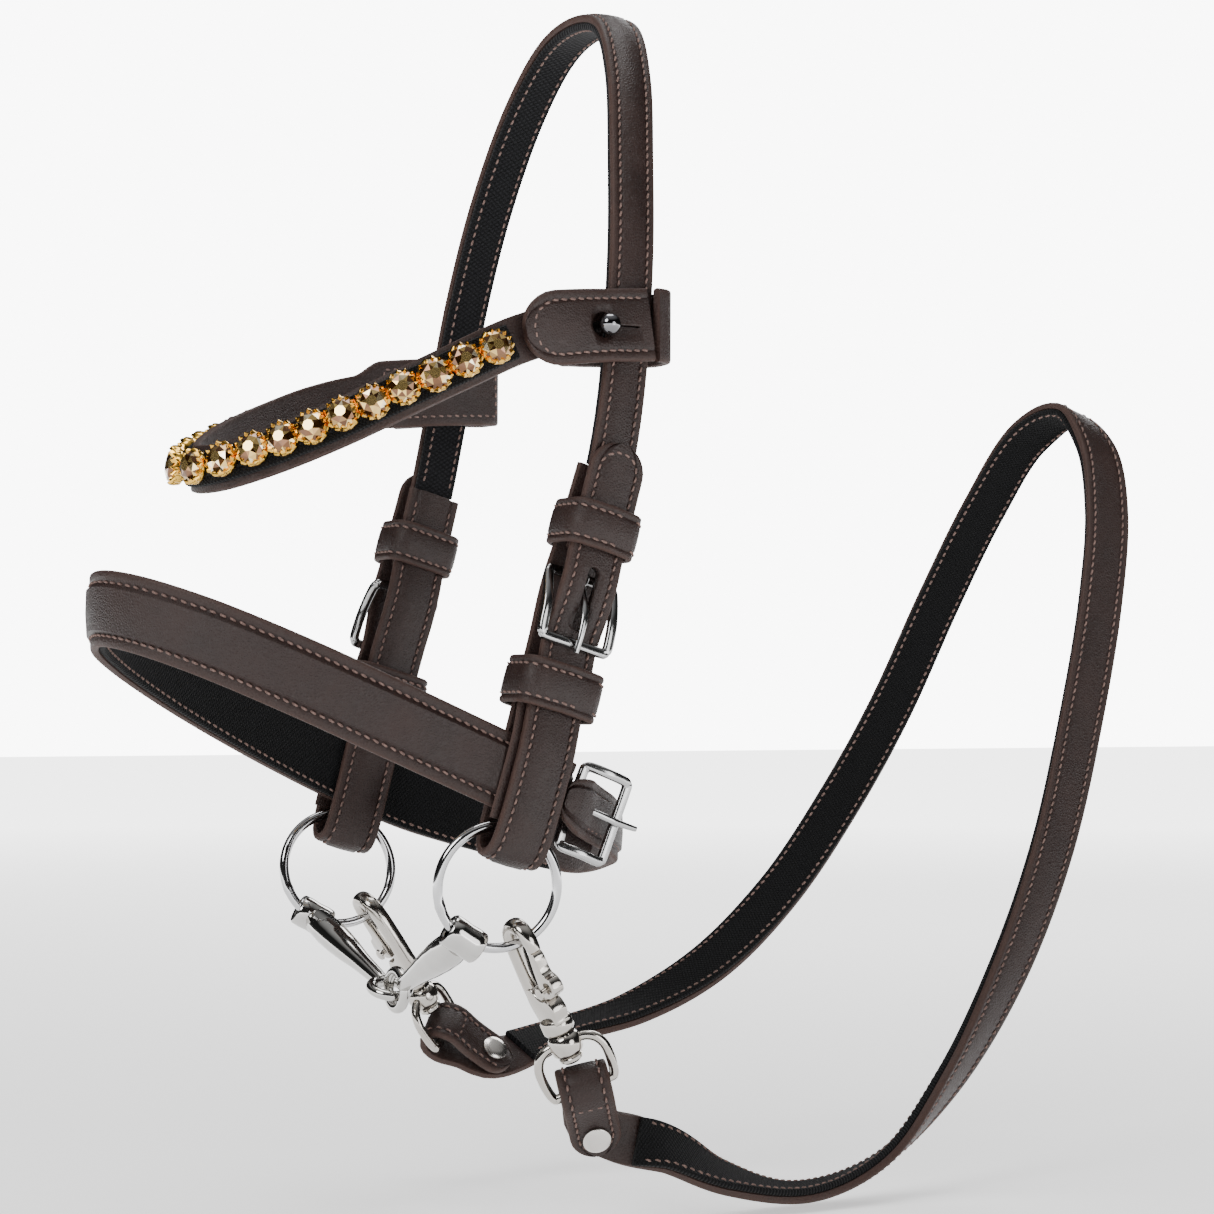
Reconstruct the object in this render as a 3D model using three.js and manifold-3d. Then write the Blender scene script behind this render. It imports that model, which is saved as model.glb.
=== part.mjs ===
// A small leather bridle: crownpiece, jewelled browband, two buckled cheekpieces, lined noseband,
// loose-ring jointed bit and a lined rein that clips on with two swivel snaps.
// Units are millimetres. +X is the near side, -Y the front, +Z up. The origin is the middle of the
// crownpiece's inner face, where it rests on the poll.
import * as THREE from "three";
import { mergeVertices } from "three/addons/utils/BufferGeometryUtils.js";
import Module from "manifold-3d";

const wasm = await Module();
wasm.setup();

// Strap sizes
const GAP = 0.3;
const CROWN_WIDTH = 11.2;
const CHEEK_WIDTH = 14;
const NOSEBAND_WIDTH = 17;
const NOSE_BILLET_WIDTH = 13;
const BROWBAND_WIDTH = 11;
const BROWBAND_LOOP_WIDTH = 17;
const REIN_WIDTH = 11.8;
const LEATHER = 2;
const LINING = 1.3;
const CARRIER = 1;

// Cheekpiece: it hangs in a plane that leans forwards; "down" runs along it, "out" away from the head
const CHEEK_LEAN = THREE.MathUtils.degToRad(16);
const CHEEK_TOP = { y: -20.6, z: -111 };
const CHEEK_FLARE = 3.4;
const FOLD_OUT = 44.1;
const FOLD_DOWN = 86;
const FOLD_RADIUS = 4;
const BILLET_TIP_DOWN = -6;

// Buckles
const BUCKLE_WIRE = 1;
const BUCKLE_HALF_WIDTH = 8.6;
const BUCKLE_BAR = { out: 42.3, down: 25.5 };
const BUCKLE_FREE = { out: 47.4, down: 41 };
const TONGUE_RADIUS = 0.8;
const SLOT_HALF_WIDTH = 1.5;

// Keepers
const KEEPER_THICK = 1.5;
const UPPER_KEEPER = { from: 9, to: 19.5, inner: 36.7, outer: 48 };
const LOWER_KEEPER = { from: 46, to: 57, inner: 37.4, outer: 48.4 };

// Rings and bit
const RING_HOLE = 12.5;
const RING_WIRE = 1.15;
const RING_LINE = RING_HOLE + RING_WIRE;
const RING_TILT = THREE.MathUtils.degToRad(8);
const RING_SKEW = THREE.MathUtils.degToRad(11);
const RING_HANG = 83.4;
const BIT_ANGLE = THREE.MathUtils.degToRad(-16);
const SNAP_ANGLE = { near: THREE.MathUtils.degToRad(42), far: THREE.MathUtils.degToRad(50) };
const BIT_EYE_LINE = 4.3;
const BIT_EYE_WIRE = 1.15;
const BIT_EYE_OFFSET = 1.9;
const BIT_JOINT = [0, -52.5, -230];

// Swivel snaps and rein ends
const SNAP_TO_BAR = 37;
const EYE_WIRE = 1.15;
const EYE_HALF_WIDTH = 8.1;
const REIN_FOLD_RADIUS = 4.3;
const REIN_PITCH = 4.6;
const REIN_BARE_PITCHES = 12;
const RIVET_AWAY = 12.5;
const NEAR_EYE_TURN = THREE.MathUtils.degToRad(26);
const FAR_EYE_TURN = THREE.MathUtils.degToRad(35);
const REIN_FOLD_SKEW = THREE.MathUtils.degToRad(10);

// Browband stones
const STONE_PITCH = 7.1;
const CUP_RADIUS = 3.3;
const CUP_HEIGHT = 3.6;
const PAD_THICK = 1.2;

const UP = new THREE.Vector3(0, 0, 1);
const DOWN_CHEEK = new THREE.Vector3(0, -Math.sin(CHEEK_LEAN), -Math.cos(CHEEK_LEAN));
const BACK_CHEEK = new THREE.Vector3(0, Math.cos(CHEEK_LEAN), -Math.sin(CHEEK_LEAN));

const LEATHER_FINISH = { color: 0x2e1e18, roughness: 0.5, metalness: 0 };
const WEB_FINISH = { color: 0x0d0d0f, roughness: 0.95, metalness: 0 };
const STEEL_FINISH = { color: 0xc9cacc, roughness: 0.15, metalness: 1 };
const GOLD_FINISH = { color: 0xc9983f, roughness: 0.25, metalness: 0.8 };

const part = new THREE.Group();
const v = (x, y, z) => new THREE.Vector3(x, y, z);

function place(name, geometry, finish) {
  const mesh = new THREE.Mesh(geometry, new THREE.MeshStandardMaterial(finish));
  mesh.name = name;
  part.add(mesh);
  return mesh;
}

// ---- solids and booleans -------------------------------------------------------------------------

function toSolid(geometry) {
  const bare = geometry.clone();
  bare.deleteAttribute("normal");
  bare.deleteAttribute("uv");
  const merged = mergeVertices(bare, 1e-4);
  return new wasm.Manifold(new wasm.Mesh({
    numProp: 3,
    vertProperties: new Float32Array(merged.attributes.position.array),
    triVerts: new Uint32Array(merged.index.array),
  }));
}

function toGeometry(solid) {
  const mesh = solid.getMesh();
  const geometry = new THREE.BufferGeometry();
  geometry.setAttribute("position", new THREE.BufferAttribute(new Float32Array(mesh.vertProperties), 3));
  geometry.setIndex(new THREE.BufferAttribute(new Uint32Array(mesh.triVerts), 1));
  return geometry;
}

const join = (...shapes) => toGeometry(shapes.map(toSolid).reduce((sum, next) => sum.add(next)));
const cut = (shape, ...tools) => toGeometry(tools.map(toSolid).reduce((left, next) => left.subtract(next),
  toSolid(shape)));

// Volume inside a skin of triangles: below zero where the triangles look inwards.
function signedVolume(points, faces) {
  const corner = (i) => v(...points.slice(3 * i, 3 * i + 3));
  let total = 0;
  for (let i = 0; i < faces.length; i += 3) {
    const [a, b, c] = [corner(faces[i]), corner(faces[i + 1]), corner(faces[i + 2])];
    total += a.dot(b.cross(c)) / 6;
  }
  return total;
}

// Joins rings of points, all with the same count, into one closed skin that looks out.
function loft(rings, closed = false) {
  const count = rings[0].length;
  const points = rings.flat().flatMap((p) => [p.x, p.y, p.z]);
  const faces = [];
  const spans = closed ? rings.length : rings.length - 1;
  for (let i = 0; i < spans; i += 1) {
    const here = i * count;
    const next = ((i + 1) % rings.length) * count;
    for (let j = 0; j < count; j += 1) {
      const k = (j + 1) % count;
      const [a, b, c, d] = [here + j, here + k, next + k, next + j];
      faces.push(...(j < count / 2 ? [a, b, c, a, c, d] : [a, b, d, b, c, d]));
    }
  }
  if (!closed) {
    const last = (rings.length - 1) * count;
    for (let j = 1; j < count - 1; j += 1) {
      faces.push(0, j + 1, j, last, last + j, last + j + 1);
    }
  }
  const geometry = new THREE.BufferGeometry();
  geometry.setAttribute("position", new THREE.Float32BufferAttribute(points, 3));
  geometry.setIndex(signedVolume(points, faces) < 0 ? faces.reverse() : faces);
  return geometry;
}

// ---- straps --------------------------------------------------------------------------------------

// A route is a smooth line of stops, each a point and the way the strap's face looks there.
function makeRoute(stops) {
  const line = new THREE.CatmullRomCurve3(stops.map(([point]) => point));
  const looks = new THREE.CatmullRomCurve3(stops.map(([, face]) => face.clone().normalize()));
  const marks = [0];
  const count = 40 * stops.length;
  let before = line.getPoint(0);
  for (let i = 1; i <= count; i += 1) {
    const here = line.getPoint(i / count);
    marks.push(marks[i - 1] + here.distanceTo(before));
    before = here;
  }
  const length = marks[count];
  const at = (distance) => {
    const goal = Math.min(Math.max(distance, 0), length);
    let i = 1;
    while (i < count && marks[i] < goal) i += 1;
    const t = (i - 1 + (goal - marks[i - 1]) / (marks[i] - marks[i - 1])) / count;
    const along = line.getTangent(t).normalize();
    const face = looks.getPoint(t);
    face.addScaledVector(along, -face.dot(along)).normalize();
    return { point: line.getPoint(t), along, face, across: along.clone().cross(face) };
  };
  return { length, at };
}

// One layer of a strap: the stretch from..to of a route, between two heights over the route's line.
function strap(route, { width, low, high, from = 0, to = route.length, step = 3.5, shift = 0 }) {
  const widthAt = typeof width === "function" ? width : () => width;
  const count = Math.max(2, Math.round((to - from) / step));
  const rings = [];
  for (let i = 0; i <= count; i += 1) {
    const distance = from + ((to - from) * i) / count;
    const { point, face, across } = route.at(distance);
    const half = widthAt(distance) / 2;
    const corner = (side, height) => point.clone()
      .addScaledVector(across, side * half + shift).addScaledVector(face, height);
    rings.push([corner(-1, low), corner(1, low), corner(1, high), corner(-1, high)]);
  }
  return loft(rings);
}

// Width of a strap whose end is rounded off over the last few millimetres.
function roundedWidth(width, end, reach, direction) {
  return (distance) => {
    const left = Math.max(0, direction * (end - distance));
    const bite = Math.max(0, 1 - left / reach);
    return width * (1 - 0.62 * bite * bite);
  };
}

function block(centre, along, across, size) {
  const geometry = new THREE.BoxGeometry(size[0], size[1], size[2]);
  const face = across.clone().cross(along).normalize();
  const basis = new THREE.Matrix4().makeBasis(along.clone().normalize(), across.clone().normalize(),
    face.negate());
  basis.setPosition(centre);
  return geometry.applyMatrix4(basis);
}

// ---- round stock ---------------------------------------------------------------------------------

// A round bar along a smooth line of points; the radius may be one number or one for each point.
function bar(points, radii, sides, closed, steps) {
  const line = new THREE.CatmullRomCurve3(points, closed);
  const frames = line.computeFrenetFrames(steps, closed);
  const radiusAt = (t) => {
    const spot = t * (points.length - 1);
    const low = Math.min(Math.floor(spot), points.length - 2);
    return THREE.MathUtils.lerp(radii[low], radii[low + 1], spot - low);
  };
  const rings = [];
  for (let i = 0; i < (closed ? steps : steps + 1); i += 1) {
    const t = i / steps;
    const tapered = Array.isArray(radii);
    const centre = tapered ? line.getPoint(t) : line.getPointAt(t);
    const radius = tapered ? radiusAt(t) : radii;
    const ring = [];
    for (let j = 0; j < sides; j += 1) {
      const angle = (2 * Math.PI * j) / sides;
      ring.push(centre.clone().addScaledVector(frames.normals[i], radius * Math.cos(angle))
        .addScaledVector(frames.binormals[i], radius * Math.sin(angle)));
    }
    rings.push(ring);
  }
  return loft(rings, closed);
}

// A turned piece: [radius, height] pairs spun about an axis from a base point.
function turned(profile, base, axis, sides = 16) {
  const geometry = new THREE.LatheGeometry(profile.map(([r, h]) => new THREE.Vector2(r, h)), sides);
  geometry.applyQuaternion(new THREE.Quaternion().setFromUnitVectors(v(0, 1, 0), axis.clone().normalize()));
  return geometry.translate(base.x, base.y, base.z);
}

function torus(centre, axis, line, wire, around, sides) {
  const geometry = new THREE.TorusGeometry(line, wire, sides, around);
  geometry.applyQuaternion(new THREE.Quaternion().setFromUnitVectors(UP, axis.clone().normalize()));
  return geometry.translate(centre.x, centre.y, centre.z);
}

// ---- crownpiece ----------------------------------------------------------------------------------

// Inner face of the crownpiece on one side: out from the middle, y, z, and the way its face looks out.
const CROWN_HALF = [
  [0, 0, 0, 0, 1], [13, -0.8, -3.2, 0.42, 0.9], [23.5, -4, -16, 0.8, 0.6], [32.4, -8.6, -38, 0.95, 0.3],
  [38.6, -12.4, -62, 0.98, 0.15], [42.4, -17, -93, 1, 0.03], [42.9, -20.6, -111, 1, 0],
];

function crownRoute() {
  const stops = [];
  for (const side of [1, -1]) {
    const half = CROWN_HALF.map(([x, y, z, out, up]) => [v(side * x, y, z), v(side * out, 0, up)]);
    const low = cheekPoint(side, 39.5, BUCKLE_BAR.down - 6);
    half.push([low, v(side, 0, 0)]);
    stops.push(side > 0 ? half.reverse() : half.slice(1));
  }
  return makeRoute(stops.flat());
}

// ---- cheekpieces ---------------------------------------------------------------------------------

function cheekPoint(side, out, down, back = 0) {
  const flared = out + CHEEK_FLARE * (1 - down / RING_HANG);
  return v(side * flared, CHEEK_TOP.y, CHEEK_TOP.z)
    .addScaledVector(DOWN_CHEEK, down).addScaledVector(BACK_CHEEK, back);
}

// The cheek strap's middle line: up the inside from the ring fold, and back up the outside as the billet.
const CHEEK_LINE = [
  [39.7, 0, -1, 0], [39.2, 12, -1, 0], [38.6, 19, -1, 0], [37.9, 25, -1, 0], [37.9, 31, -1, 0], [38.9, 40, -1, 0],
  [39.4, 50, -1, 0], [40.1, 64, -1, 0], [40.1, 84, -1, 0],
  [41.3, 89.2, -0.7, 0.7], [44.1, 90.6, 0, 1], [46.9, 89.2, 0.7, 0.7],
  [48.3, 84, 1, 0], [48.3, 66, 1, 0], [46.8, 56, 1, 0], [46.4, 48, 1, 0], [45.2, 40.5, 1, 0],
  [46.6, 31, 1, 0], [46.8, 25.5, 1, 0], [46.2, 20, 1, 0], [45.6, 9, 1, 0], [44.9, BILLET_TIP_DOWN, 1, 0],
];

function cheekRoute(side) {
  return makeRoute(CHEEK_LINE.map(([out, down, lookOut, lookDown]) => [
    cheekPoint(side, out, down),
    v(side * lookOut, 0, 0).addScaledVector(DOWN_CHEEK, lookDown),
  ]));
}

function keeper(side, { from, to, inner, outer }, halfWidth) {
  const middle = (inner + outer) / 2;
  const reach = (outer - inner) / 2;
  const outline = (grow) => {
    const [a, b, corner] = [reach + grow, halfWidth + grow, 1.6 + grow];
    const shape = new THREE.Shape();
    shape.moveTo(-a + corner, -b).lineTo(a - corner, -b).quadraticCurveTo(a, -b, a, -b + corner)
      .lineTo(a, b - corner).quadraticCurveTo(a, b, a - corner, b)
      .lineTo(-a + corner, b).quadraticCurveTo(-a, b, -a, b - corner)
      .lineTo(-a, -b + corner).quadraticCurveTo(-a, -b, -a + corner, -b);
    return shape;
  };
  const shape = outline(KEEPER_THICK);
  shape.holes.push(outline(0));
  const geometry = new THREE.ExtrudeGeometry(shape, { depth: to - from, bevelEnabled: false,
    curveSegments: 2 });
  const basis = new THREE.Matrix4().makeBasis(v(1, 0, 0), BACK_CHEEK.clone().negate(), DOWN_CHEEK);
  const half = (to - from) / 2;
  basis.setPosition(cheekPoint(side, middle, from + half).addScaledVector(DOWN_CHEEK, -half));
  return geometry.applyMatrix4(basis);
}

// A buckle frame: heel bar, two cranked sides and a free edge, all one bent and joined wire.
function buckleFrame(corner) {
  const half = BUCKLE_HALF_WIDTH;
  const spots = [
    [0, -half + 1.2], [0, 0], [0, half - 1.2], [0.12, half], [0.5, half], [0.88, half], [1, half - 1.2],
    [1, 0], [1, -half + 1.2], [0.88, -half], [0.5, -half], [0.12, -half],
  ];
  return bar(spots.map(([end, back]) => corner(end, back)), BUCKLE_WIRE, 6, true, 26);
}

function cheekpiece(name, side) {
  const route = cheekRoute(side);
  const tipWidth = roundedWidth(CHEEK_WIDTH, route.length, 6, 1);
  const slotMiddle = cheekPoint(side, 45, 30.5);
  const slot = block(slotMiddle, DOWN_CHEEK, BACK_CHEEK, [12.5, 2 * SLOT_HALF_WIDTH, 6.4]);
  const leather = strap(route, { width: tipWidth, low: -LEATHER / 2, high: LEATHER / 2, step: 3.2 });
  place(`${name}_cheek_strap`, cut(leather, slot), LEATHER_FINISH);

  const carrier = makeRoute([
    [cheekPoint(side, 44.4, 47), v(side, 0, 0)], [cheekPoint(side, 44.9, 56), v(side, 0, 0)],
    [cheekPoint(side, 46.4, 64), v(side, 0, 0)], [cheekPoint(side, 46.5, 83), v(side, 0, 0)],
  ]);
  place(`${name}_noseband_carrier`, strap(carrier, { width: CHEEK_WIDTH - 0.6, low: -CARRIER / 2,
    high: CARRIER / 2, shift: side * 1.8 }), LEATHER_FINISH);

  place(`${name}_upper_keeper`, keeper(side, UPPER_KEEPER, CHEEK_WIDTH / 2 + 0.4), LEATHER_FINISH);
  place(`${name}_lower_keeper`, keeper(side, LOWER_KEEPER, CHEEK_WIDTH / 2 + 1.6), LEATHER_FINISH);

  const rise = BUCKLE_FREE.out - BUCKLE_BAR.out;
  const run = BUCKLE_FREE.down - BUCKLE_BAR.down;
  const corner = (end, back) => cheekPoint(side,
    BUCKLE_BAR.out + rise * end + 1.4 * Math.sin(Math.PI * end), BUCKLE_BAR.down + run * end, back);
  place(`${name}_buckle_frame`, buckleFrame(corner), STEEL_FINISH);

  const eye = turned([[BUCKLE_WIRE + GAP, -1.1], [2.1, -1.1], [2.1, 1.1], [BUCKLE_WIRE + GAP, 1.1],
    [BUCKLE_WIRE + GAP, -1.1]], cheekPoint(side, BUCKLE_BAR.out, BUCKLE_BAR.down), BACK_CHEEK, 12);
  const prong = bar([cheekPoint(side, BUCKLE_BAR.out + 1.2, BUCKLE_BAR.down + 1.3),
    cheekPoint(side, 44.8, 28.4), cheekPoint(side, 48.6, 34), cheekPoint(side, 49.5, 38.5),
    cheekPoint(side, 49.4, 43)], TONGUE_RADIUS, 6, false, 6);
  place(`${name}_buckle_tongue`, join(eye, prong), STEEL_FINISH);
}

// ---- rings, bit and snaps ------------------------------------------------------------------------

function ringFrame(side) {
  const hang = cheekPoint(side, FOLD_OUT, RING_HANG);
  const down = DOWN_CHEEK.clone().multiplyScalar(Math.cos(RING_TILT))
    .add(v(-side * Math.sin(RING_TILT), 0, 0));
  const skewed = BACK_CHEEK.clone().applyAxisAngle(down, RING_SKEW);
  const back = skewed.addScaledVector(down, -skewed.dot(down)).normalize();
  const centre = hang.clone().addScaledVector(down, RING_LINE);
  const spot = (angle) => centre.clone().addScaledVector(down, RING_LINE * Math.cos(angle))
    .addScaledVector(back, RING_LINE * Math.sin(angle));
  return { hang, centre, down, back, spot, axis: back.clone().cross(down) };
}

// Half of the jointed mouthpiece: a drilled barrel on the ring, a tapered bar and an eye at the joint.
function bitArm(side) {
  const ring = ringFrame(side);
  const root = ring.spot(BIT_ANGLE);
  const joint = v(BIT_JOINT[0] + side * BIT_EYE_OFFSET, BIT_JOINT[1], BIT_JOINT[2]);
  const along = joint.clone().sub(root).normalize();
  const reach = joint.distanceTo(root);
  const spot = (distance, lift = 0) => root.clone().addScaledVector(along, distance)
    .addScaledVector(UP, lift);
  const body = bar([spot(-4.6), spot(-3.6), spot(0), spot(5), spot(12), spot(20), spot(28),
    spot(reach - BIT_EYE_LINE - 0.6)], [2.2, 3.8, 4.3, 4.3, 4, 3.2, 2.3, 1.7], 10, false, 12);
  const tangent = ring.back.clone().multiplyScalar(Math.cos(BIT_ANGLE))
    .addScaledVector(ring.down, -Math.sin(BIT_ANGLE));
  const drill = turned([[0, -7], [2.1, -7], [2.1, 7], [0, 7]], root, tangent, 10);
  const level = along.clone().cross(v(0, 1, 0)).normalize();
  const eyeAxis = side > 0 ? v(0, 1, 0) : level;
  const eye = torus(joint, eyeAxis, BIT_EYE_LINE, BIT_EYE_WIRE, 16, 6);
  return join(cut(body, drill), eye);
}

// A swivel snap hangs along "down", its hook open towards "out"; the eye turns on the hook's stem.
function snapFrame(side) {
  const ring = ringFrame(side);
  const angle = side > 0 ? SNAP_ANGLE.near : SNAP_ANGLE.far;
  const grip = ring.spot(angle);
  const down = BACK_CHEEK.clone().multiplyScalar(Math.sin(angle))
    .addScaledVector(DOWN_CHEEK, Math.cos(angle)).normalize();
  const outRaw = v(side, 0, 0);
  const out = outRaw.addScaledVector(down, -outRaw.dot(down)).normalize();
  const flat = down.clone().cross(out).normalize();
  const spot = (drop, away = 0, through = 0) => grip.clone().addScaledVector(down, drop)
    .addScaledVector(out, away).addScaledVector(flat, through);
  return { grip, down, out, flat, spot };
}

function flatPiece(frame, outline, thickness, holes = []) {
  const shape = new THREE.Shape(outline.map(([away, drop]) => new THREE.Vector2(away, drop)));
  for (const [away, drop, radius] of holes) {
    shape.holes.push(new THREE.Path().absarc(away, drop, radius, 0, 2 * Math.PI, true));
  }
  const geometry = new THREE.ExtrudeGeometry(shape, { depth: thickness, bevelEnabled: false,
    curveSegments: 6 });
  geometry.translate(0, 0, -thickness / 2);
  const third = frame.out.clone().cross(frame.down);
  const basis = new THREE.Matrix4().makeBasis(frame.out, frame.down, third);
  basis.setPosition(frame.grip);
  return geometry.applyMatrix4(basis);
}

const HOOK_OUTLINE = [
  [-4.6, 20], [-6, 12], [-6.2, 5], [-5.6, -1.2], [-3.4, -4.6], [0.4, -5.9], [3.8, -4.6], [5.6, -1.6],
  [5.9, 2.2], [3.2, 2.2], [2.7, -0.6], [1.4, -2], [-0.4, -2.3], [-2, -1.2], [-2.7, 1.2], [-2.6, 8],
  [-1.6, 12.4], [0.6, 13.8], [3.2, 13.8], [4.6, 16.6], [3.4, 20],
];
const GATE_OUTLINE = [
  [3.3, 2.7], [5.6, 2.7], [5.9, 7], [8, 8.6], [8.6, 11], [7.2, 12.4], [5.9, 12.2], [5.2, 13.3],
  [2.2, 13.3], [1.6, 12],
];
const GATE_PIN = [3.6, 11.4];

function snap(name, side, eyeTurn) {
  const frame = snapFrame(side);
  const { spot, down, flat } = frame;
  const hookPlate = flatPiece(frame, HOOK_OUTLINE, 4);
  const stem = turned([[0, 19], [3.6, 19], [3.6, 22.6], [1.5, 23], [1.5, 28.4], [2.7, 28.4], [2.7, 29.8],
    [0, 29.8]], frame.grip, down, 12);
  place(`${name}_snap_hook`, join(hookPlate, stem), STEEL_FINISH);

  place(`${name}_snap_gate`, flatPiece(frame, GATE_OUTLINE, 2.6, [[...GATE_PIN, 0.95]]), STEEL_FINISH);
  const ears = turned([[0, -3.2], [1.5, -3.2], [1.5, -2.3], [0.62, -2.3], [0.62, 2.3], [1.5, 2.3],
    [1.5, 3.2], [0, 3.2]], spot(GATE_PIN[1], GATE_PIN[0]), flat, 10);
  place(`${name}_gate_pin`, ears, STEEL_FINISH);

  const barLine = flat.clone().multiplyScalar(-Math.cos(eyeTurn) * 1)
    .addScaledVector(frame.out, side * Math.sin(eyeTurn)).normalize();
  const eyeSpot = (drop, across) => frame.grip.clone().addScaledVector(down, drop)
    .addScaledVector(barLine, across);
  const collar = turned([[1.8, 23.4], [3.5, 23.4], [3.9, 25.6], [3.5, 28], [1.8, 28], [1.8, 23.4]],
    frame.grip, down, 12);
  const half = EYE_HALF_WIDTH;
  const legs = [[25.7, 2.9], [25.9, 5], [27.4, half - 0.9], [31, half], [35, half - 0.3],
    [SNAP_TO_BAR, half - 2], [SNAP_TO_BAR, 0]];
  const bow = bar([...legs.map(([drop, across]) => eyeSpot(drop, -across)),
    ...legs.slice(0, -1).reverse().map(([drop, across]) => eyeSpot(drop, across))],
  EYE_WIRE, 6, false, 22);
  place(`${name}_snap_eye`, join(collar, bow), STEEL_FINISH);
  return { barSpot: eyeSpot(SNAP_TO_BAR, 0), barLine, plane: barLine.clone().cross(down).normalize() };
}

function ringAndBit(name, side) {
  const ring = ringFrame(side);
  place(`${name}_ring`, torus(ring.centre, ring.axis, RING_LINE, RING_WIRE, 28, 6), STEEL_FINISH);
  place(`${name}_bit_arm`, bitArm(side), STEEL_FINISH);
}

// ---- browband ------------------------------------------------------------------------------------

// Middle of the browband leather from the near fold, round the front, to the far loop's sewn end.
const BROWBAND_STOPS = [
  [[47.6, -9.4, -77.4], [0.3, 0.95, 0]], [[46.4, -6.2, -77.4], [0.2, 1, 0]], [[42.6, -4.6, -77.4], [0, 1, 0]],
  [[38.6, -5.8, -77.6], [-0.8, 0.6, 0]], [[37, -9.5, -77.6], [-1, 0, 0]],
  [[37, -17, -78], [-1, -0.05, 0]], [[37.8, -23.5, -78.4], [-1, 0, 0]],
  [[40.8, -32, -79.2], [-1, 0, 0]], [[41.6, -42, -82.2], [-1, 0.05, -0.1]],
  [[39, -56, -89], [-0.94, 0.3, -0.1]], [[33.6, -68, -95.4], [-0.85, 0.5, -0.1]],
  [[26.4, -79, -101.6], [-0.7, 0.7, -0.1]], [[17, -90, -107.2], [-0.5, 0.85, -0.1]],
  [[7.5, -98, -110.4], [-0.25, 0.96, -0.05]], [[-2, -100.5, -110.6], [0, 1, 0]],
  [[-11, -97, -108.4], [0.35, 0.93, 0]], [[-21.5, -86, -102.8], [0.7, 0.7, 0]],
  [[-30, -72, -97], [0.85, 0.5, 0]], [[-36.5, -57, -91.4], [0.94, 0.3, 0]],
  [[-39.8, -42, -87.4], [1, 0, 0]], [[-39.6, -31, -86], [1, 0, 0]], [[-37.8, -23, -85.4], [1, 0, 0]],
  [[-37.2, -16, -85], [1, 0, 0]], [[-37.6, -8.6, -84.6], [0.9, 0.3, 0]], [[-39.4, -5.4, -84.4], [0.4, 0.9, 0]],
  [[-42.8, -4.6, -84.2], [0, 1, 0]], [[-46.6, -6.2, -84.2], [-0.8, 0.6, 0.1]],
  [[-47.8, -10.4, -84.2], [-1, 0, 0.12]], [[-47.4, -22, -85], [-1, 0, 0.12]], [[-43.6, -34, -86.4], [-1, 0, 0]],
];
const FLAP_STOPS = [
  [[47, -11, -77.4], [1, 0, 0.12]], [[46.9, -16, -77.8], [1, 0, 0.12]], [[46.7, -24, -78.4], [1, 0, 0.12]],
  [[45.8, -34, -79.4], [1, 0, 0]], [[45.2, -42.5, -80.8], [1, 0, 0]],
];
const STUD = { out: 46.7, inside: 37.8, y: -22.8, z: -78.3 };

const toStops = (rows) => rows.map(([point, face]) => [v(...point), v(...face)]);

function browband() {
  const route = makeRoute(toStops(BROWBAND_STOPS));
  const ease = THREE.MathUtils.smoothstep;
  const width = (distance) => {
    const loops = 1 - ease(distance, 38, 46) + ease(distance, route.length - 76, route.length - 68);
    return BROWBAND_WIDTH + (BROWBAND_LOOP_WIDTH - BROWBAND_WIDTH) * loops;
  };
  const outward = v(1, 0, 0);
  const hole = turned([[0, -3], [1.7, -3], [1.7, 3], [0, 3]], v(STUD.inside, STUD.y, STUD.z), outward, 10);
  place("browband_strap", cut(strap(route, { width, low: -LEATHER / 2, high: LEATHER / 2, step: 3 }), hole),
    LEATHER_FINISH);

  const flapRoute = makeRoute(toStops(FLAP_STOPS));
  const flapWidth = roundedWidth(BROWBAND_LOOP_WIDTH, flapRoute.length, 9, 1);
  const keyhole = join(
    turned([[0, -3], [3.5, -3], [3.5, 3], [0, 3]], v(STUD.out, STUD.y - 0.5, STUD.z), outward, 14),
    block(v(STUD.out, STUD.y + 4.2, STUD.z), outward, v(0, 1, 0), [6, 6.6, 1.2]));
  place("browband_stud_flap", cut(strap(flapRoute, { width: flapWidth, low: -LEATHER / 2,
    high: LEATHER / 2, step: 2.4 }), keyhole), LEATHER_FINISH);

  const inside = STUD.inside - STUD.out;
  place("browband_stud", turned([[0, inside - 3], [3, inside - 3], [3, inside - 1.9],
    [1.25, inside - 1.9], [1.25, 1.2], [2.5, 2.6], [2.5, 3.6], [1.8, 4.8], [0, 5.3]],
  v(STUD.out, STUD.y, STUD.z), outward, 12), STEEL_FINISH);

  const padFrom = 52;
  const padTo = route.length - 73;
  const padLow = -LEATHER / 2 - GAP - PAD_THICK;
  place("browband_pad", strap(route, { width: 8, low: padLow, high: -LEATHER / 2 - GAP, from: padFrom,
    to: padTo, step: 4 }), WEB_FINISH);

  const stripLow = padLow - GAP - 0.8;
  const pieces = [strap(route, { width: 3, low: stripLow, high: padLow - GAP, from: padFrom + 2,
    to: padTo - 2, step: 4 })];
  const count = Math.floor((padTo - padFrom - CUP_RADIUS * 2) / STONE_PITCH);
  const start = (padFrom + padTo - count * STONE_PITCH) / 2;
  for (let i = 0; i <= count; i += 1) {
    const { point, face } = route.at(start + i * STONE_PITCH);
    const base = point.clone().addScaledVector(face, padLow - GAP);
    const outwards = face.clone().negate();
    pieces.push(turned([[0, 0], [CUP_RADIUS, 1.4], [CUP_RADIUS - 0.5, CUP_HEIGHT], [0, CUP_HEIGHT]],
      base, outwards, 7));
  }
  place("stone_chain", join(...pieces), GOLD_FINISH);
}

// ---- noseband ------------------------------------------------------------------------------------

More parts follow.
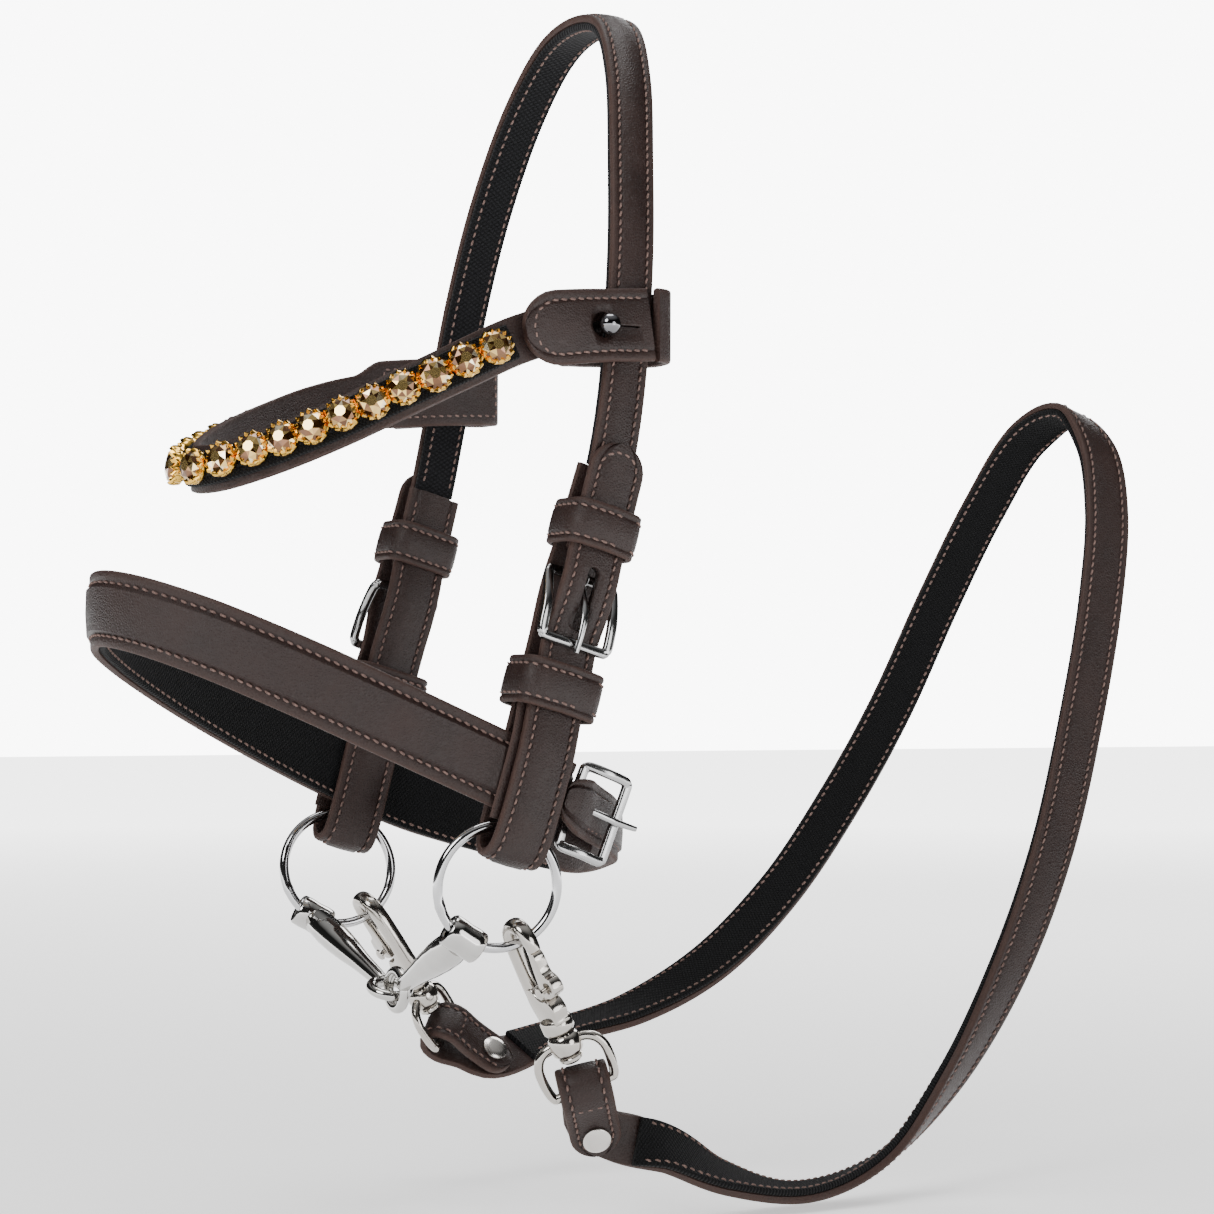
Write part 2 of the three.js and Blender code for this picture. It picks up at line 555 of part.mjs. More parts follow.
// Inner face of the lining, from the near buckle round the front and the far side, then under the chin.
const NOSEBAND_STOPS = [
  [[41.9, -32.4, -184.8], [1, 0.06, 0]], [[42.1, -38, -182.3], [1, 0, 0]], [[42.1, -47, -178.5], [1, -0.05, 0]],
  [[38.6, -70, -167.8], [0.95, -0.3, 0]], [[32.5, -91, -157.6], [0.85, -0.52, 0]],
  [[23, -108.5, -149], [0.65, -0.76, 0]], [[12, -118.5, -144.2], [0.35, -0.93, 0]],
  [[0, -121.8, -142.6], [0, -1, 0]], [[-12, -118.5, -144.2], [-0.35, -0.93, 0]],
  [[-23, -108.5, -149], [-0.65, -0.76, 0]], [[-32.5, -91, -157.6], [-0.85, -0.52, 0]],
  [[-38.6, -70, -167.8], [-0.95, -0.3, 0]], [[-42.1, -47, -178.5], [-1, -0.05, 0]],
  [[-42.1, -38, -182.3], [-1, 0, 0]], [[-41.2, -26, -187.2], [-1, 0.2, 0]], [[-32, -13, -192.2], [-0.75, 0.65, 0]],
  [[-18, -6, -195.4], [-0.35, 0.94, 0]], [[-2, -4.6, -196.4], [0, 1, 0]], [[14, -6.6, -195.6], [0.35, 0.94, 0]],
  [[27, -11.6, -193.4], [0.6, 0.8, 0]], [[35.4, -18.4, -190.6], [0.85, 0.5, 0]],
];
// The billet carries on from there under the free edge, over the heel bar and the noseband's end.
const NOSE_BILLET_STOPS = [
  [[38.4, -22.4, -189], [0.95, 0.3, 0]], [[41.6, -26.8, -187.2], [0.97, 0.2, 0]],
  [[44.8, -30.6, -185.6], [1, 0.05, 0]], [[44.6, -33.4, -184.5], [1, 0, 0]],
];
const NOSE_BAR = { x: 42.2, y: -28.6, z: -186.4 };
const NOSE_FREE = { x: 43.8, y: -18.4, z: -190.6 };

function noseband() {
  const route = makeRoute(toStops([...NOSEBAND_STOPS, ...NOSE_BILLET_STOPS]));
  const leatherLow = LINING + GAP;
  const ease = THREE.MathUtils.smoothstep;
  const width = (distance) => {
    const narrow = ease(distance, route.length - 66, route.length - 40);
    const tip = Math.max(0, 1 - (route.length - distance) / 5);
    return (NOSEBAND_WIDTH + (NOSE_BILLET_WIDTH - NOSEBAND_WIDTH) * narrow) * (1 - 0.55 * tip * tip);
  };
  const liningEnd = route.length - 64;
  const hole = block(v(44, -26, -187.4), v(0, 0.93, -0.36), v(1, 0, 0), [9, 8, 2 * SLOT_HALF_WIDTH]);
  const band = strap(route, { width, low: leatherLow, high: leatherLow + LEATHER, step: 3.6 });
  place("noseband_strap", cut(band, hole), LEATHER_FINISH);
  place("noseband_lining", strap(route, { width: NOSEBAND_WIDTH - 0.8, low: 0, high: LINING, from: 2,
    to: liningEnd, step: 4.2 }), WEB_FINISH);

  const guard = makeRoute(toStops([
    [[36.6, -34.6, -188.6], [1, 0, 0]], [[35.6, -29, -191.4], [1, 0, 0]],
    [[33.6, -23, -194.4], [0.95, 0.3, 0]], [[30.8, -17.6, -197.4], [0.9, 0.43, 0]],
  ]));
  const guardWidth = roundedWidth(NOSEBAND_WIDTH, guard.length, 9, 1);
  place("noseband_guard", strap(guard, { width: guardWidth, low: -0.8, high: 0.8, step: 2.4 }),
    LEATHER_FINISH);

  const line = v(0, NOSE_FREE.y - NOSE_BAR.y, NOSE_FREE.z - NOSE_BAR.z).normalize();
  const across = v(0, line.z, -line.y).normalize();
  const corner = (end, back) => v(NOSE_BAR.x, NOSE_BAR.y, NOSE_BAR.z)
    .lerp(v(NOSE_FREE.x, NOSE_FREE.y, NOSE_FREE.z), end)
    .addScaledVector(v(1, 0, 0), 1.2 * Math.sin(Math.PI * end))
    .addScaledVector(across, back * 1.12);
  place("noseband_buckle_frame", buckleFrame(corner), STEEL_FINISH);
  const heel = corner(0, 0);
  const eye = turned([[BUCKLE_WIRE + GAP, -1.1], [2.1, -1.1], [2.1, 1.1], [BUCKLE_WIRE + GAP, 1.1],
    [BUCKLE_WIRE + GAP, -1.1]], heel, across, 12);
  const free = corner(1, 0);
  const prong = bar([heel.clone().add(v(1, 1.3, -0.5)), heel.clone().lerp(free, 0.32).add(v(2.6, 0, 0)),
    free.clone().add(v(2.2, -1.4, 0.5)), free.clone().add(v(1.9, 1.6, -0.5)),
    free.clone().add(v(1.7, 4.6, -1.4))], TONGUE_RADIUS, 6, false, 7);
  place("noseband_buckle_tongue", join(eye, prong), STEEL_FINISH);
}

// ---- rein ----------------------------------------------------------------------------------------

// Middle of the rein's two layers between its folds, with the way its leather side looks.
const REIN_STOPS = [
  [[41.6, -3, -265], [-0.66, 0.34, -0.66]], [[41.6, 12, -272.4], [-0.4, 0.2, -0.88]],
  [[41, 34, -277.6], [0, 0, -1]], [[39, 58, -272.4], [0.4, 0.1, -0.9]], [[36, 80.4, -255.6], [0.72, 0.05, -0.6]],
  [[32, 102, -230], [0.86, -0.14, -0.4]], [[28, 119.2, -200.6], [0.94, -0.2, -0.2]],
  [[23, 133, -167.6], [0.98, -0.25, 0]], [[18, 144, -136], [0.96, -0.26, 0.1]],
  [[13.4, 150, -112], [0.9, -0.22, 0.3]], [[8, 151, -95.4], [0.66, 0, 0.75]],
  [[0, 148, -86.4], [0, 0.25, 1]], [[-8, 141.4, -92], [-0.7, 0.5, 0.6]], [[-14, 131, -111], [-0.88, 0.5, 0.2]],
  [[-19, 119.6, -135.6], [-0.9, 0.46, 0]], [[-24, 106.6, -165], [-0.88, 0.48, -0.1]],
  [[-28, 93, -189], [-0.85, 0.5, -0.2]], [[-32, 76.4, -212.4], [-0.78, 0.45, -0.4]],
  [[-36, 57, -231], [-0.6, 0.3, -0.7]], [[-39.4, 36, -242], [-0.35, 0.1, -0.9]],
  [[-41.6, 16, -247], [-0.2, 0, -1]],
];

// The leather goes round an eye's bar and comes back along the lining side, to be riveted.
function reinFold({ spot: middle, away, look }) {
  const r = REIN_FOLD_RADIUS;
  const spot = (forward, height) => middle.clone().addScaledVector(away, forward)
    .addScaledVector(look, height);
  const facing = (forward, height) => away.clone().multiplyScalar(forward)
    .addScaledVector(look, height);
  return [
    [spot(18, -1.3), facing(0, -1)], [spot(13, -1.4), facing(0, -1)], [spot(6, -2.7), facing(0.2, -1)],
    [spot(0.6, -r), facing(0, -1)], [spot(-0.72 * r, -0.72 * r), facing(-0.7, -0.7)],
    [spot(-r, 0), facing(-1, 0)], [spot(-0.72 * r, 0.72 * r), facing(-0.7, 0.7)],
    [spot(0.6, r), facing(0, 1)], [spot(6, 2.7), facing(0.2, 1)], [spot(12, 1.5), facing(0, 1)],
  ];
}

// How a rein end lies: the middle of the eye's bar, the way the strap leaves, and its leather side.
function reinEnd({ barSpot, barLine, plane }, [first, face], skew) {
  const axis = barLine.clone().applyAxisAngle(plane, skew);
  const away = first.clone().sub(barSpot);
  away.addScaledVector(axis, -away.dot(axis)).normalize();
  const look = away.clone().cross(axis).normalize();
  if (look.dot(face) < 0) look.negate();
  return { spot: barSpot, away, look };
}

function rein(nearEye, farEye) {
  const middle = toStops(REIN_STOPS);
  const nearEnd = reinEnd(nearEye, middle[0], REIN_FOLD_SKEW);
  const farEnd = reinEnd(farEye, middle[middle.length - 1], REIN_FOLD_SKEW);
  const raised = middle.map(([point, face]) => [point.clone().addScaledVector(face, 1.3), face]);
  const route = makeRoute([...reinFold(nearEnd), ...raised, ...reinFold(farEnd).reverse()]);
  const width = (distance) => {
    const tip = Math.max(0, 1 - Math.min(distance, route.length - distance) / 5);
    return REIN_WIDTH * (1 - 0.6 * tip * tip);
  };
  const rivets = [["near_rein_rivet", nearEnd], ["far_rein_rivet", farEnd]].map(([name, end]) => (
    { name, look: end.look, spot: end.spot.clone().addScaledVector(end.away, RIVET_AWAY) }));
  const holes = rivets.map(({ spot, look }) => turned([[0, -6], [1.7, -6], [1.7, 6], [0, 6]], spot, look, 8));
  const step = route.length / Math.round(route.length / REIN_PITCH);
  const bare = REIN_BARE_PITCHES * step;
  const under = -LEATHER / 2 - GAP;
  place("rein_leather", cut(strap(route, { width, low: -LEATHER / 2, high: LEATHER / 2, step }), ...holes),
    LEATHER_FINISH);
  place("rein_lining", strap(route, { width: REIN_WIDTH - 0.6, low: under - LINING, high: under, from: bare,
    to: route.length - bare, step }), WEB_FINISH);
  for (const { name, look, spot } of rivets) {
    place(name, turned([[0, -4.3], [3, -4], [3.2, -3.4], [1.35, -3.4], [1.35, 3.4], [3.2, 3.4], [3, 4],
      [0, 4.3]], spot, look, 12), STEEL_FINISH);
  }
}

// ---- the whole bridle ----------------------------------------------------------------------------

const crown = crownRoute();
const crownLow = LINING + 1.5 * GAP;
place("crown_strap", strap(crown, { width: CROWN_WIDTH, low: crownLow, high: crownLow + LEATHER, step: 6 }),
  LEATHER_FINISH);
place("crown_lining", strap(crown, { width: CROWN_WIDTH - 0.8, low: 0, high: LINING, from: 20,
  to: crown.length - 20, step: 5 }), WEB_FINISH);

browband();
cheekpiece("near", 1);
cheekpiece("far", -1);
noseband();
ringAndBit("near", 1);
ringAndBit("far", -1);
rein(snap("near", 1, NEAR_EYE_TURN), snap("far", -1, FAR_EYE_TURN));

export default part;
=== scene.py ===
import math
import random

import bpy
from mathutils import Matrix, Vector


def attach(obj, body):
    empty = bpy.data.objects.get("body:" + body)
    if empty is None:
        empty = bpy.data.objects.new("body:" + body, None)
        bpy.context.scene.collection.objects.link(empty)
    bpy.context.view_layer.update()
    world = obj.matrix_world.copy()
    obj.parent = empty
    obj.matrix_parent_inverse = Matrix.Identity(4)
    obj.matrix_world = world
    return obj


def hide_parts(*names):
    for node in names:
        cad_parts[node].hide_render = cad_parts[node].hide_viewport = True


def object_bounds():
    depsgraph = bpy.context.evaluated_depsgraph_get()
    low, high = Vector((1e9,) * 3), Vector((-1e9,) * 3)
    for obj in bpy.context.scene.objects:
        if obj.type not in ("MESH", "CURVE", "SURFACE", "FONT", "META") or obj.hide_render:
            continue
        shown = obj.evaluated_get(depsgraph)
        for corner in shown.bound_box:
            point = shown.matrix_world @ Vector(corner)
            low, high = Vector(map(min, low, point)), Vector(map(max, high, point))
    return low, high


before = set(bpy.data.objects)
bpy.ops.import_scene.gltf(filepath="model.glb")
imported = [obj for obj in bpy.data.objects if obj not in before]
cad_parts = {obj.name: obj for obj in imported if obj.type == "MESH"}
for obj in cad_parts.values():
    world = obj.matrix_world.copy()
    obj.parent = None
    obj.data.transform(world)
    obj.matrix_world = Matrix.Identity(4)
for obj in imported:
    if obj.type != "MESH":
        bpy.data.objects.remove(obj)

bl_info = {
    "name": "Toy horse bridle",
    "version": (1, 0, 0),
    "blender": (4, 5, 0),
    "location": "3D View > Sidebar > Bridle",
    "description": "Builds the leather, webbing, metal and stones of a small bridle around its frame",
    "category": "Add Mesh",
}

CAD_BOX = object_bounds()
MM = 0.001
BODY = "bridle"

# Strap sizes, in millimetres
GAP = 0.3
CROWN_WIDTH = 11.2
CHEEK_WIDTH = 14.0
NOSEBAND_WIDTH = 17.0
NOSE_BILLET_WIDTH = 13.0
BROWBAND_WIDTH = 11.0
BROWBAND_LOOP_WIDTH = 17.0
REIN_WIDTH = 11.8
LEATHER = 2.0
LINING = 1.3
CARRIER = 1.0
STITCH_INSET = 2.2

# Cheekpiece, buckles and keepers
CHEEK_LEAN = math.radians(16)
CHEEK_TOP = Vector((0, -20.6, -111))
CHEEK_FLARE = 3.4
FOLD_OUT = 44.1
BUCKLE_HALF_WIDTH = 8.6
BUCKLE_BAR = (42.3, 25.5)
BUCKLE_FREE = (47.4, 41.0)
KEEPER_THICK = 1.5
UPPER_KEEPER = (9, 19.5, 36.7, 48.0)
LOWER_KEEPER = (46, 57, 37.4, 48.4)

# Rings, bit and snaps
RING_WIRE = 1.15
RING_LINE = 12.5 + RING_WIRE
RING_TILT = math.radians(8)
RING_SKEW = math.radians(11)
RING_HANG = 83.4
BIT_ANGLE = math.radians(-16)
SNAP_ANGLE = {"near": math.radians(42), "far": math.radians(50)}
EYE_TURN = {"near": math.radians(26), "far": math.radians(35)}
BIT_EYE_LINE = 4.3
BIT_EYE_OFFSET = 1.9
BIT_JOINT = Vector((0, -52.5, -230))
SNAP_TO_BAR = 37.0
EYE_HALF_WIDTH = 8.1
REIN_FOLD_RADIUS = 4.3
REIN_FOLD_SKEW = math.radians(10)
RIVET_AWAY = 12.5
SIDES = (("near", 1), ("far", -1))

DOWN = Vector((0, -math.sin(CHEEK_LEAN), -math.cos(CHEEK_LEAN)))
BACK = Vector((0, math.cos(CHEEK_LEAN), -math.sin(CHEEK_LEAN)))
OUT = Vector((1, 0, 0))
UP = Vector((0, 0, 1))

# ---- the lines the straps follow --------------------------------------------------------------------

# Inner face of the crownpiece on one side: x, y, z, and how its face looks outwards and upwards
CROWN_HALF = [
  [0, 0, 0, 0, 1], [13, -0.8, -3.2, 0.42, 0.9], [23.5, -4, -16, 0.8, 0.6], [32.4, -8.6, -38, 0.95, 0.3],
  [38.6, -12.4, -62, 0.98, 0.15], [42.4, -17, -93, 1, 0.03], [42.9, -20.6, -111, 1, 0],
]
# Middle of the cheek strap: out, down, and how its face looks outwards and downwards
CHEEK_LINE = [
  [39.7, 0, -1, 0], [39.2, 12, -1, 0], [38.6, 19, -1, 0], [37.9, 25, -1, 0], [37.9, 31, -1, 0],
  [38.9, 40, -1, 0],
  [39.4, 50, -1, 0], [40.1, 64, -1, 0], [40.1, 84, -1, 0],
  [41.3, 89.2, -0.7, 0.7], [44.1, 90.6, 0, 1], [46.9, 89.2, 0.7, 0.7],
  [48.3, 84, 1, 0], [48.3, 66, 1, 0], [46.8, 56, 1, 0], [46.4, 48, 1, 0], [45.2, 40.5, 1, 0],
  [46.6, 31, 1, 0], [46.8, 25.5, 1, 0], [46.2, 20, 1, 0], [45.6, 9, 1, 0], [44.9, -6, 1, 0],
]
# Middle of the browband from the near fold, round the front, to the far loop's sewn end
BROWBAND_STOPS = [
  [[47.6, -9.4, -77.4], [0.3, 0.95, 0]], [[46.4, -6.2, -77.4], [0.2, 1, 0]], [[42.6, -4.6, -77.4], [0, 1, 0]],
  [[38.6, -5.8, -77.6], [-0.8, 0.6, 0]], [[37, -9.5, -77.6], [-1, 0, 0]],
  [[37, -17, -78], [-1, -0.05, 0]], [[37.8, -23.5, -78.4], [-1, 0, 0]],
  [[40.8, -32, -79.2], [-1, 0, 0]], [[41.6, -42, -82.2], [-1, 0.05, -0.1]],
  [[39, -56, -89], [-0.94, 0.3, -0.1]], [[33.6, -68, -95.4], [-0.85, 0.5, -0.1]],
  [[26.4, -79, -101.6], [-0.7, 0.7, -0.1]], [[17, -90, -107.2], [-0.5, 0.85, -0.1]],
  [[7.5, -98, -110.4], [-0.25, 0.96, -0.05]], [[-2, -100.5, -110.6], [0, 1, 0]],
  [[-11, -97, -108.4], [0.35, 0.93, 0]], [[-21.5, -86, -102.8], [0.7, 0.7, 0]],
  [[-30, -72, -97], [0.85, 0.5, 0]], [[-36.5, -57, -91.4], [0.94, 0.3, 0]],
  [[-39.8, -42, -87.4], [1, 0, 0]], [[-39.6, -31, -86], [1, 0, 0]], [[-37.8, -23, -85.4], [1, 0, 0]],
  [[-37.2, -16, -85], [1, 0, 0]], [[-37.6, -8.6, -84.6], [0.9, 0.3, 0]],
  [[-39.4, -5.4, -84.4], [0.4, 0.9, 0]],
  [[-42.8, -4.6, -84.2], [0, 1, 0]], [[-46.6, -6.2, -84.2], [-0.8, 0.6, 0.1]],
  [[-47.8, -10.4, -84.2], [-1, 0, 0.12]], [[-47.4, -22, -85], [-1, 0, 0.12]],
  [[-43.6, -34, -86.4], [-1, 0, 0]],
]
# Middle of the flap that closes on the stud
FLAP_STOPS = [
  [[47, -11, -77.4], [1, 0, 0.12]], [[46.9, -16, -77.8], [1, 0, 0.12]], [[46.7, -24, -78.4], [1, 0, 0.12]],
  [[45.8, -34, -79.4], [1, 0, 0]], [[45.2, -42.5, -80.8], [1, 0, 0]],
]
# Inner face of the noseband, from the near buckle round the front and under the chin
NOSEBAND_STOPS = [
  [[41.9, -32.4, -184.8], [1, 0.06, 0]], [[42.1, -38, -182.3], [1, 0, 0]],
  [[42.1, -47, -178.5], [1, -0.05, 0]],
  [[38.6, -70, -167.8], [0.95, -0.3, 0]], [[32.5, -91, -157.6], [0.85, -0.52, 0]],
  [[23, -108.5, -149], [0.65, -0.76, 0]], [[12, -118.5, -144.2], [0.35, -0.93, 0]],
  [[0, -121.8, -142.6], [0, -1, 0]], [[-12, -118.5, -144.2], [-0.35, -0.93, 0]],
  [[-23, -108.5, -149], [-0.65, -0.76, 0]], [[-32.5, -91, -157.6], [-0.85, -0.52, 0]],
  [[-38.6, -70, -167.8], [-0.95, -0.3, 0]], [[-42.1, -47, -178.5], [-1, -0.05, 0]],
  [[-42.1, -38, -182.3], [-1, 0, 0]], [[-41.2, -26, -187.2], [-1, 0.2, 0]],
  [[-32, -13, -192.2], [-0.75, 0.65, 0]],
  [[-18, -6, -195.4], [-0.35, 0.94, 0]], [[-2, -4.6, -196.4], [0, 1, 0]],
  [[14, -6.6, -195.6], [0.35, 0.94, 0]],
  [[27, -11.6, -193.4], [0.6, 0.8, 0]], [[35.4, -18.4, -190.6], [0.85, 0.5, 0]],
]
# The billet carries on from there over the heel bar
NOSE_BILLET_STOPS = [
  [[38.4, -22.4, -189], [0.95, 0.3, 0]], [[41.6, -26.8, -187.2], [0.97, 0.2, 0]],
  [[44.8, -30.6, -185.6], [1, 0.05, 0]], [[44.6, -33.4, -184.5], [1, 0, 0]],
]
# Middle of the rein's two layers between its folds, with the way its leather side looks
REIN_STOPS = [
  [[41.6, -3, -265], [-0.66, 0.34, -0.66]], [[41.6, 12, -272.4], [-0.4, 0.2, -0.88]],
  [[41, 34, -277.6], [0, 0, -1]], [[39, 58, -272.4], [0.4, 0.1, -0.9]],
  [[36, 80.4, -255.6], [0.72, 0.05, -0.6]],
  [[32, 102, -230], [0.86, -0.14, -0.4]], [[28, 119.2, -200.6], [0.94, -0.2, -0.2]],
  [[23, 133, -167.6], [0.98, -0.25, 0]], [[18, 144, -136], [0.96, -0.26, 0.1]],
  [[13.4, 150, -112], [0.9, -0.22, 0.3]], [[8, 151, -95.4], [0.66, 0, 0.75]],
  [[0, 148, -86.4], [0, 0.25, 1]], [[-8, 141.4, -92], [-0.7, 0.5, 0.6]],
  [[-14, 131, -111], [-0.88, 0.5, 0.2]],
  [[-19, 119.6, -135.6], [-0.9, 0.46, 0]], [[-24, 106.6, -165], [-0.88, 0.48, -0.1]],
  [[-28, 93, -189], [-0.85, 0.5, -0.2]], [[-32, 76.4, -212.4], [-0.78, 0.45, -0.4]],
  [[-36, 57, -231], [-0.6, 0.3, -0.7]], [[-39.4, 36, -242], [-0.35, 0.1, -0.9]],
  [[-41.6, 16, -247], [-0.2, 0, -1]],
]
GATE_OUTLINE = [
  [3.3, 2.7], [5.6, 2.7], [5.9, 7], [8, 8.6], [8.6, 11], [7.2, 12.4], [5.9, 12.2], [5.2, 13.3],
  [2.2, 13.3], [1.6, 12],
]
GUARD_STOPS = [
  [[36.6, -34.6, -188.6], [1, 0, 0]], [[35.6, -29, -191.4], [1, 0, 0]],
  [[33.6, -23, -194.4], [0.95, 0.3, 0]], [[30.8, -17.6, -197.4], [0.9, 0.43, 0]],
]
GATE_PIN = (3.6, 11.4)
STUD = {"out": 46.7, "inside": 37.8, "y": -22.8, "z": -78.3}
NOSE_BAR = (42.2, -28.6, -186.4)
NOSE_FREE = (43.8, -18.4, -190.6)
STONE_PITCH = 7.1
CUP_RADIUS = 3.3
PAD_THICK = 1.2


def props():
    return bpy.context.scene.bridle


# ---- routes ---------------------------------------------------------------------------------------

def spline(points, t):
    """A point on the smooth line through the points, t from 0 to 1, with spans eased by their length."""
    last = len(points) - 1
    place = min(max(t, 0.0), 1.0) * last
    i = min(int(place), last - 1)
    w = place - i
    p1, p2 = points[i], points[i + 1]
    p0 = points[i - 1] if i > 0 else p1 * 2 - p2
    p3 = points[i + 2] if i + 2 <= last else p2 * 2 - p1
    d1 = (p2 - p1).length ** 0.5
    d1 = d1 if d1 > 1e-4 else 1.0
    d0 = (p1 - p0).length ** 0.5
    d0 = d0 if d0 > 1e-4 else d1
    d2 = (p3 - p2).length ** 0.5
    d2 = d2 if d2 > 1e-4 else d1
    m1 = ((p1 - p0) / d0 - (p2 - p0) / (d0 + d1) + (p2 - p1) / d1) * d1
    m2 = ((p2 - p1) / d1 - (p3 - p1) / (d1 + d2) + (p3 - p2) / d2) * d1
    c2 = (p2 - p1) * 3 - m1 * 2 - m2
    c3 = (p1 - p2) * 2 + m1 + m2
    return p1 + m1 * w + c2 * w * w + c3 * w * w * w


class Route:
    """A smooth line of stops, each a point and the way the strap's face looks there."""

    def __init__(self, stops):
        self.points = [Vector(point) for point, _ in stops]
        self.faces = [Vector(face).normalized() for _, face in stops]
        self.count = 40 * len(stops)
        self.marks = [0.0]
        before = self.points[0]
        for i in range(1, self.count + 1):
            here = spline(self.points, i / self.count)
            self.marks.append(self.marks[-1] + (here - before).length)
            before = here
        self.length = self.marks[-1]

    def at(self, distance):
        goal = min(max(distance, 0.0), self.length)
        low, high = 1, self.count
        while low < high:
            middle = (low + high) // 2
            if self.marks[middle] < goal:
                low = middle + 1
            else:
                high = middle
        before = self.marks[low - 1]
        t = (low - 1 + (goal - before) / (self.marks[low] - before)) / self.count
        ahead = spline(self.points, t + 1e-4) - spline(self.points, t - 1e-4)
        along = ahead.normalized()
        face = spline(self.faces, t)
        face = (face - along * face.dot(along)).normalized()
        return spline(self.points, t), along, face, along.cross(face)


def cheek_point(side, out, down, back=0.0):
    flared = out + CHEEK_FLARE * (1 - down / RING_HANG)
    return Vector((side * flared, 0, 0)) + CHEEK_TOP + DOWN * down + BACK * back


# ---- meshes ---------------------------------------------------------------------------------------

def new_mesh(name, points, faces, sharp=35.0, uvs=None, wear=None):
    """A mesh object from points in millimetres, smooth up to the sharp angle."""
    mesh = bpy.data.meshes.new(name)
    mesh.from_pydata([tuple(p * MM) for p in points], [], faces)
    mesh.update()
    if uvs:
        layer = mesh.uv_layers.new(name="Strap")
        for loop in mesh.loops:
            layer.data[loop.index].uv = uvs[loop.vertex_index]
    if wear:
        mesh.attributes.new("wear", "FLOAT", "POINT").data.foreach_set("value", wear)
    obj = bpy.data.objects.new(name, mesh)
    bpy.context.collection.objects.link(obj)
    shade(obj, sharp)
    return obj


def only(obj):
    """Deselects everything, then selects this object and makes it the active one."""
    bpy.ops.object.select_all(action="DESELECT")
    obj.select_set(True)
    bpy.context.view_layer.objects.active = obj


def shade(obj, sharp):
    only(obj)
    if sharp > 0:
        bpy.ops.object.shade_smooth_by_angle(angle=math.radians(sharp))
    else:
        bpy.ops.object.shade_flat()


def tidy_normals(obj):
    only(obj)
    bpy.ops.object.mode_set(mode="EDIT")
    bpy.ops.mesh.select_all(action="SELECT")
    bpy.ops.mesh.remove_doubles(threshold=1e-6)
    bpy.ops.mesh.normals_make_consistent(inside=False)
    bpy.ops.object.mode_set(mode="OBJECT")


def apply_modifier(obj, kind, **settings):
    only(obj)
    modifier = obj.modifiers.new(kind.title(), kind)
    for key, value in settings.items():
        setattr(modifier, key, value)
    bpy.ops.object.modifier_apply(modifier=modifier.name)


def basis(x, y, z, origin):
    """A matrix whose columns are three directions and an origin in millimetres, giving metres."""
    turned = Matrix((x, y, z)).transposed().to_4x4()
    turned.translation = origin * MM
    return turned


def standing(axis, origin, hint=Vector((0, 1, 0))):
    """A matrix that stands local Z on an axis."""
    z = axis.normalized()
    if abs(z.dot(hint)) > 0.95:
        hint = Vector((1, 0, 0))
    x = hint.cross(z).normalized()
    return basis(x, z.cross(x), z, origin)


def settle(obj, matrix):
    """Places the mesh itself, so that the object stays at the origin."""
    obj.data.transform(matrix)
    obj.matrix_world = Matrix.Identity(4)
    obj.data.update()
    return obj


def merge(name, pieces):
    bpy.ops.object.select_all(action="DESELECT")
    for piece in pieces:
        piece.select_set(True)
    bpy.context.view_layer.objects.active = pieces[0]
    if len(pieces) > 1:
        bpy.ops.object.join()
    pieces[0].name = name
    pieces[0].data.name = name
    return pieces[0]


def skin(rings, closed=False):
    """Faces that join rings of points, all with the same count."""
    count = len(rings[0])
    faces = []
    for i in range(len(rings) if closed else len(rings) - 1):
        here, ahead = i * count, ((i + 1) % len(rings)) * count
        for j in range(count):
            k = (j + 1) % count
            faces.append((here + j, here + k, ahead + k, ahead + j))
    if not closed:
        faces.append(tuple(reversed(range(count))))
        last = (len(rings) - 1) * count
        faces.append(tuple(last + j for j in range(count)))
    return faces


def outward(points, faces):
    """The faces, turned round if they look inwards."""
    total = 0.0
    for face in faces:
        a = points[face[0]]
        for i in range(1, len(face) - 1):
            total += a.dot(points[face[i]].cross(points[face[i + 1]]))
    return faces if total > 0 else [tuple(reversed(face)) for face in faces]


def band(name, frames, section, closed=False, sharp=40.0):
    """A strap: one section carried along frames of (point, face, across, half width, distance)."""
    rings, uvs, wear = [], [], []
    widest = max(frame_[3] for frame_ in frames)
    for point, face, across, half, distance in frames:
        shrink = half / widest
        ring = []
        for side, inset, height, worn in section:
            x = side * max(half - inset * shrink, 0.0)
            ring.append(point + across * x + face * height)
            uvs.append((distance * MM, x * MM))
            wear.append(worn)
        rings.append(ring)
    points = [p for ring in rings for p in ring]
    return new_mesh(name, points, outward(points, skin(rings, closed)), sharp, uvs, wear)


def leather_section(low, high, groove=STITCH_INSET, crown=0.6):
    """Section of a leather strap: burnished edges, two pressed stitch grooves and a raised middle."""
    middle = (low + high) / 2
    edge = [
        (0.0, middle, 1.0), (0.06, high - 0.5, 1.0), (0.28, high - 0.16, 0.85), (0.65, high - 0.02, 0.4),
        (groove - 0.55, high, 0.1), (groove, high - 0.3, 0.0), (groove + 0.45, high - 0.05, 0.0),
        (groove + 1.1, high + 0.8 * crown, 0.0),
    ]
    back = [(0.28, low + 0.14, 0.85), (0.8, low, 0.25)]
    top = [(-1, *step) for step in edge] + [(0, 0, high + crown, 0.0)]
    top += [(1, *step) for step in reversed(edge)]
    under = [(1, *step) for step in back] + [(0, 0, low, 0.0)] + [(-1, *step) for step in reversed(back)]
    return top + under


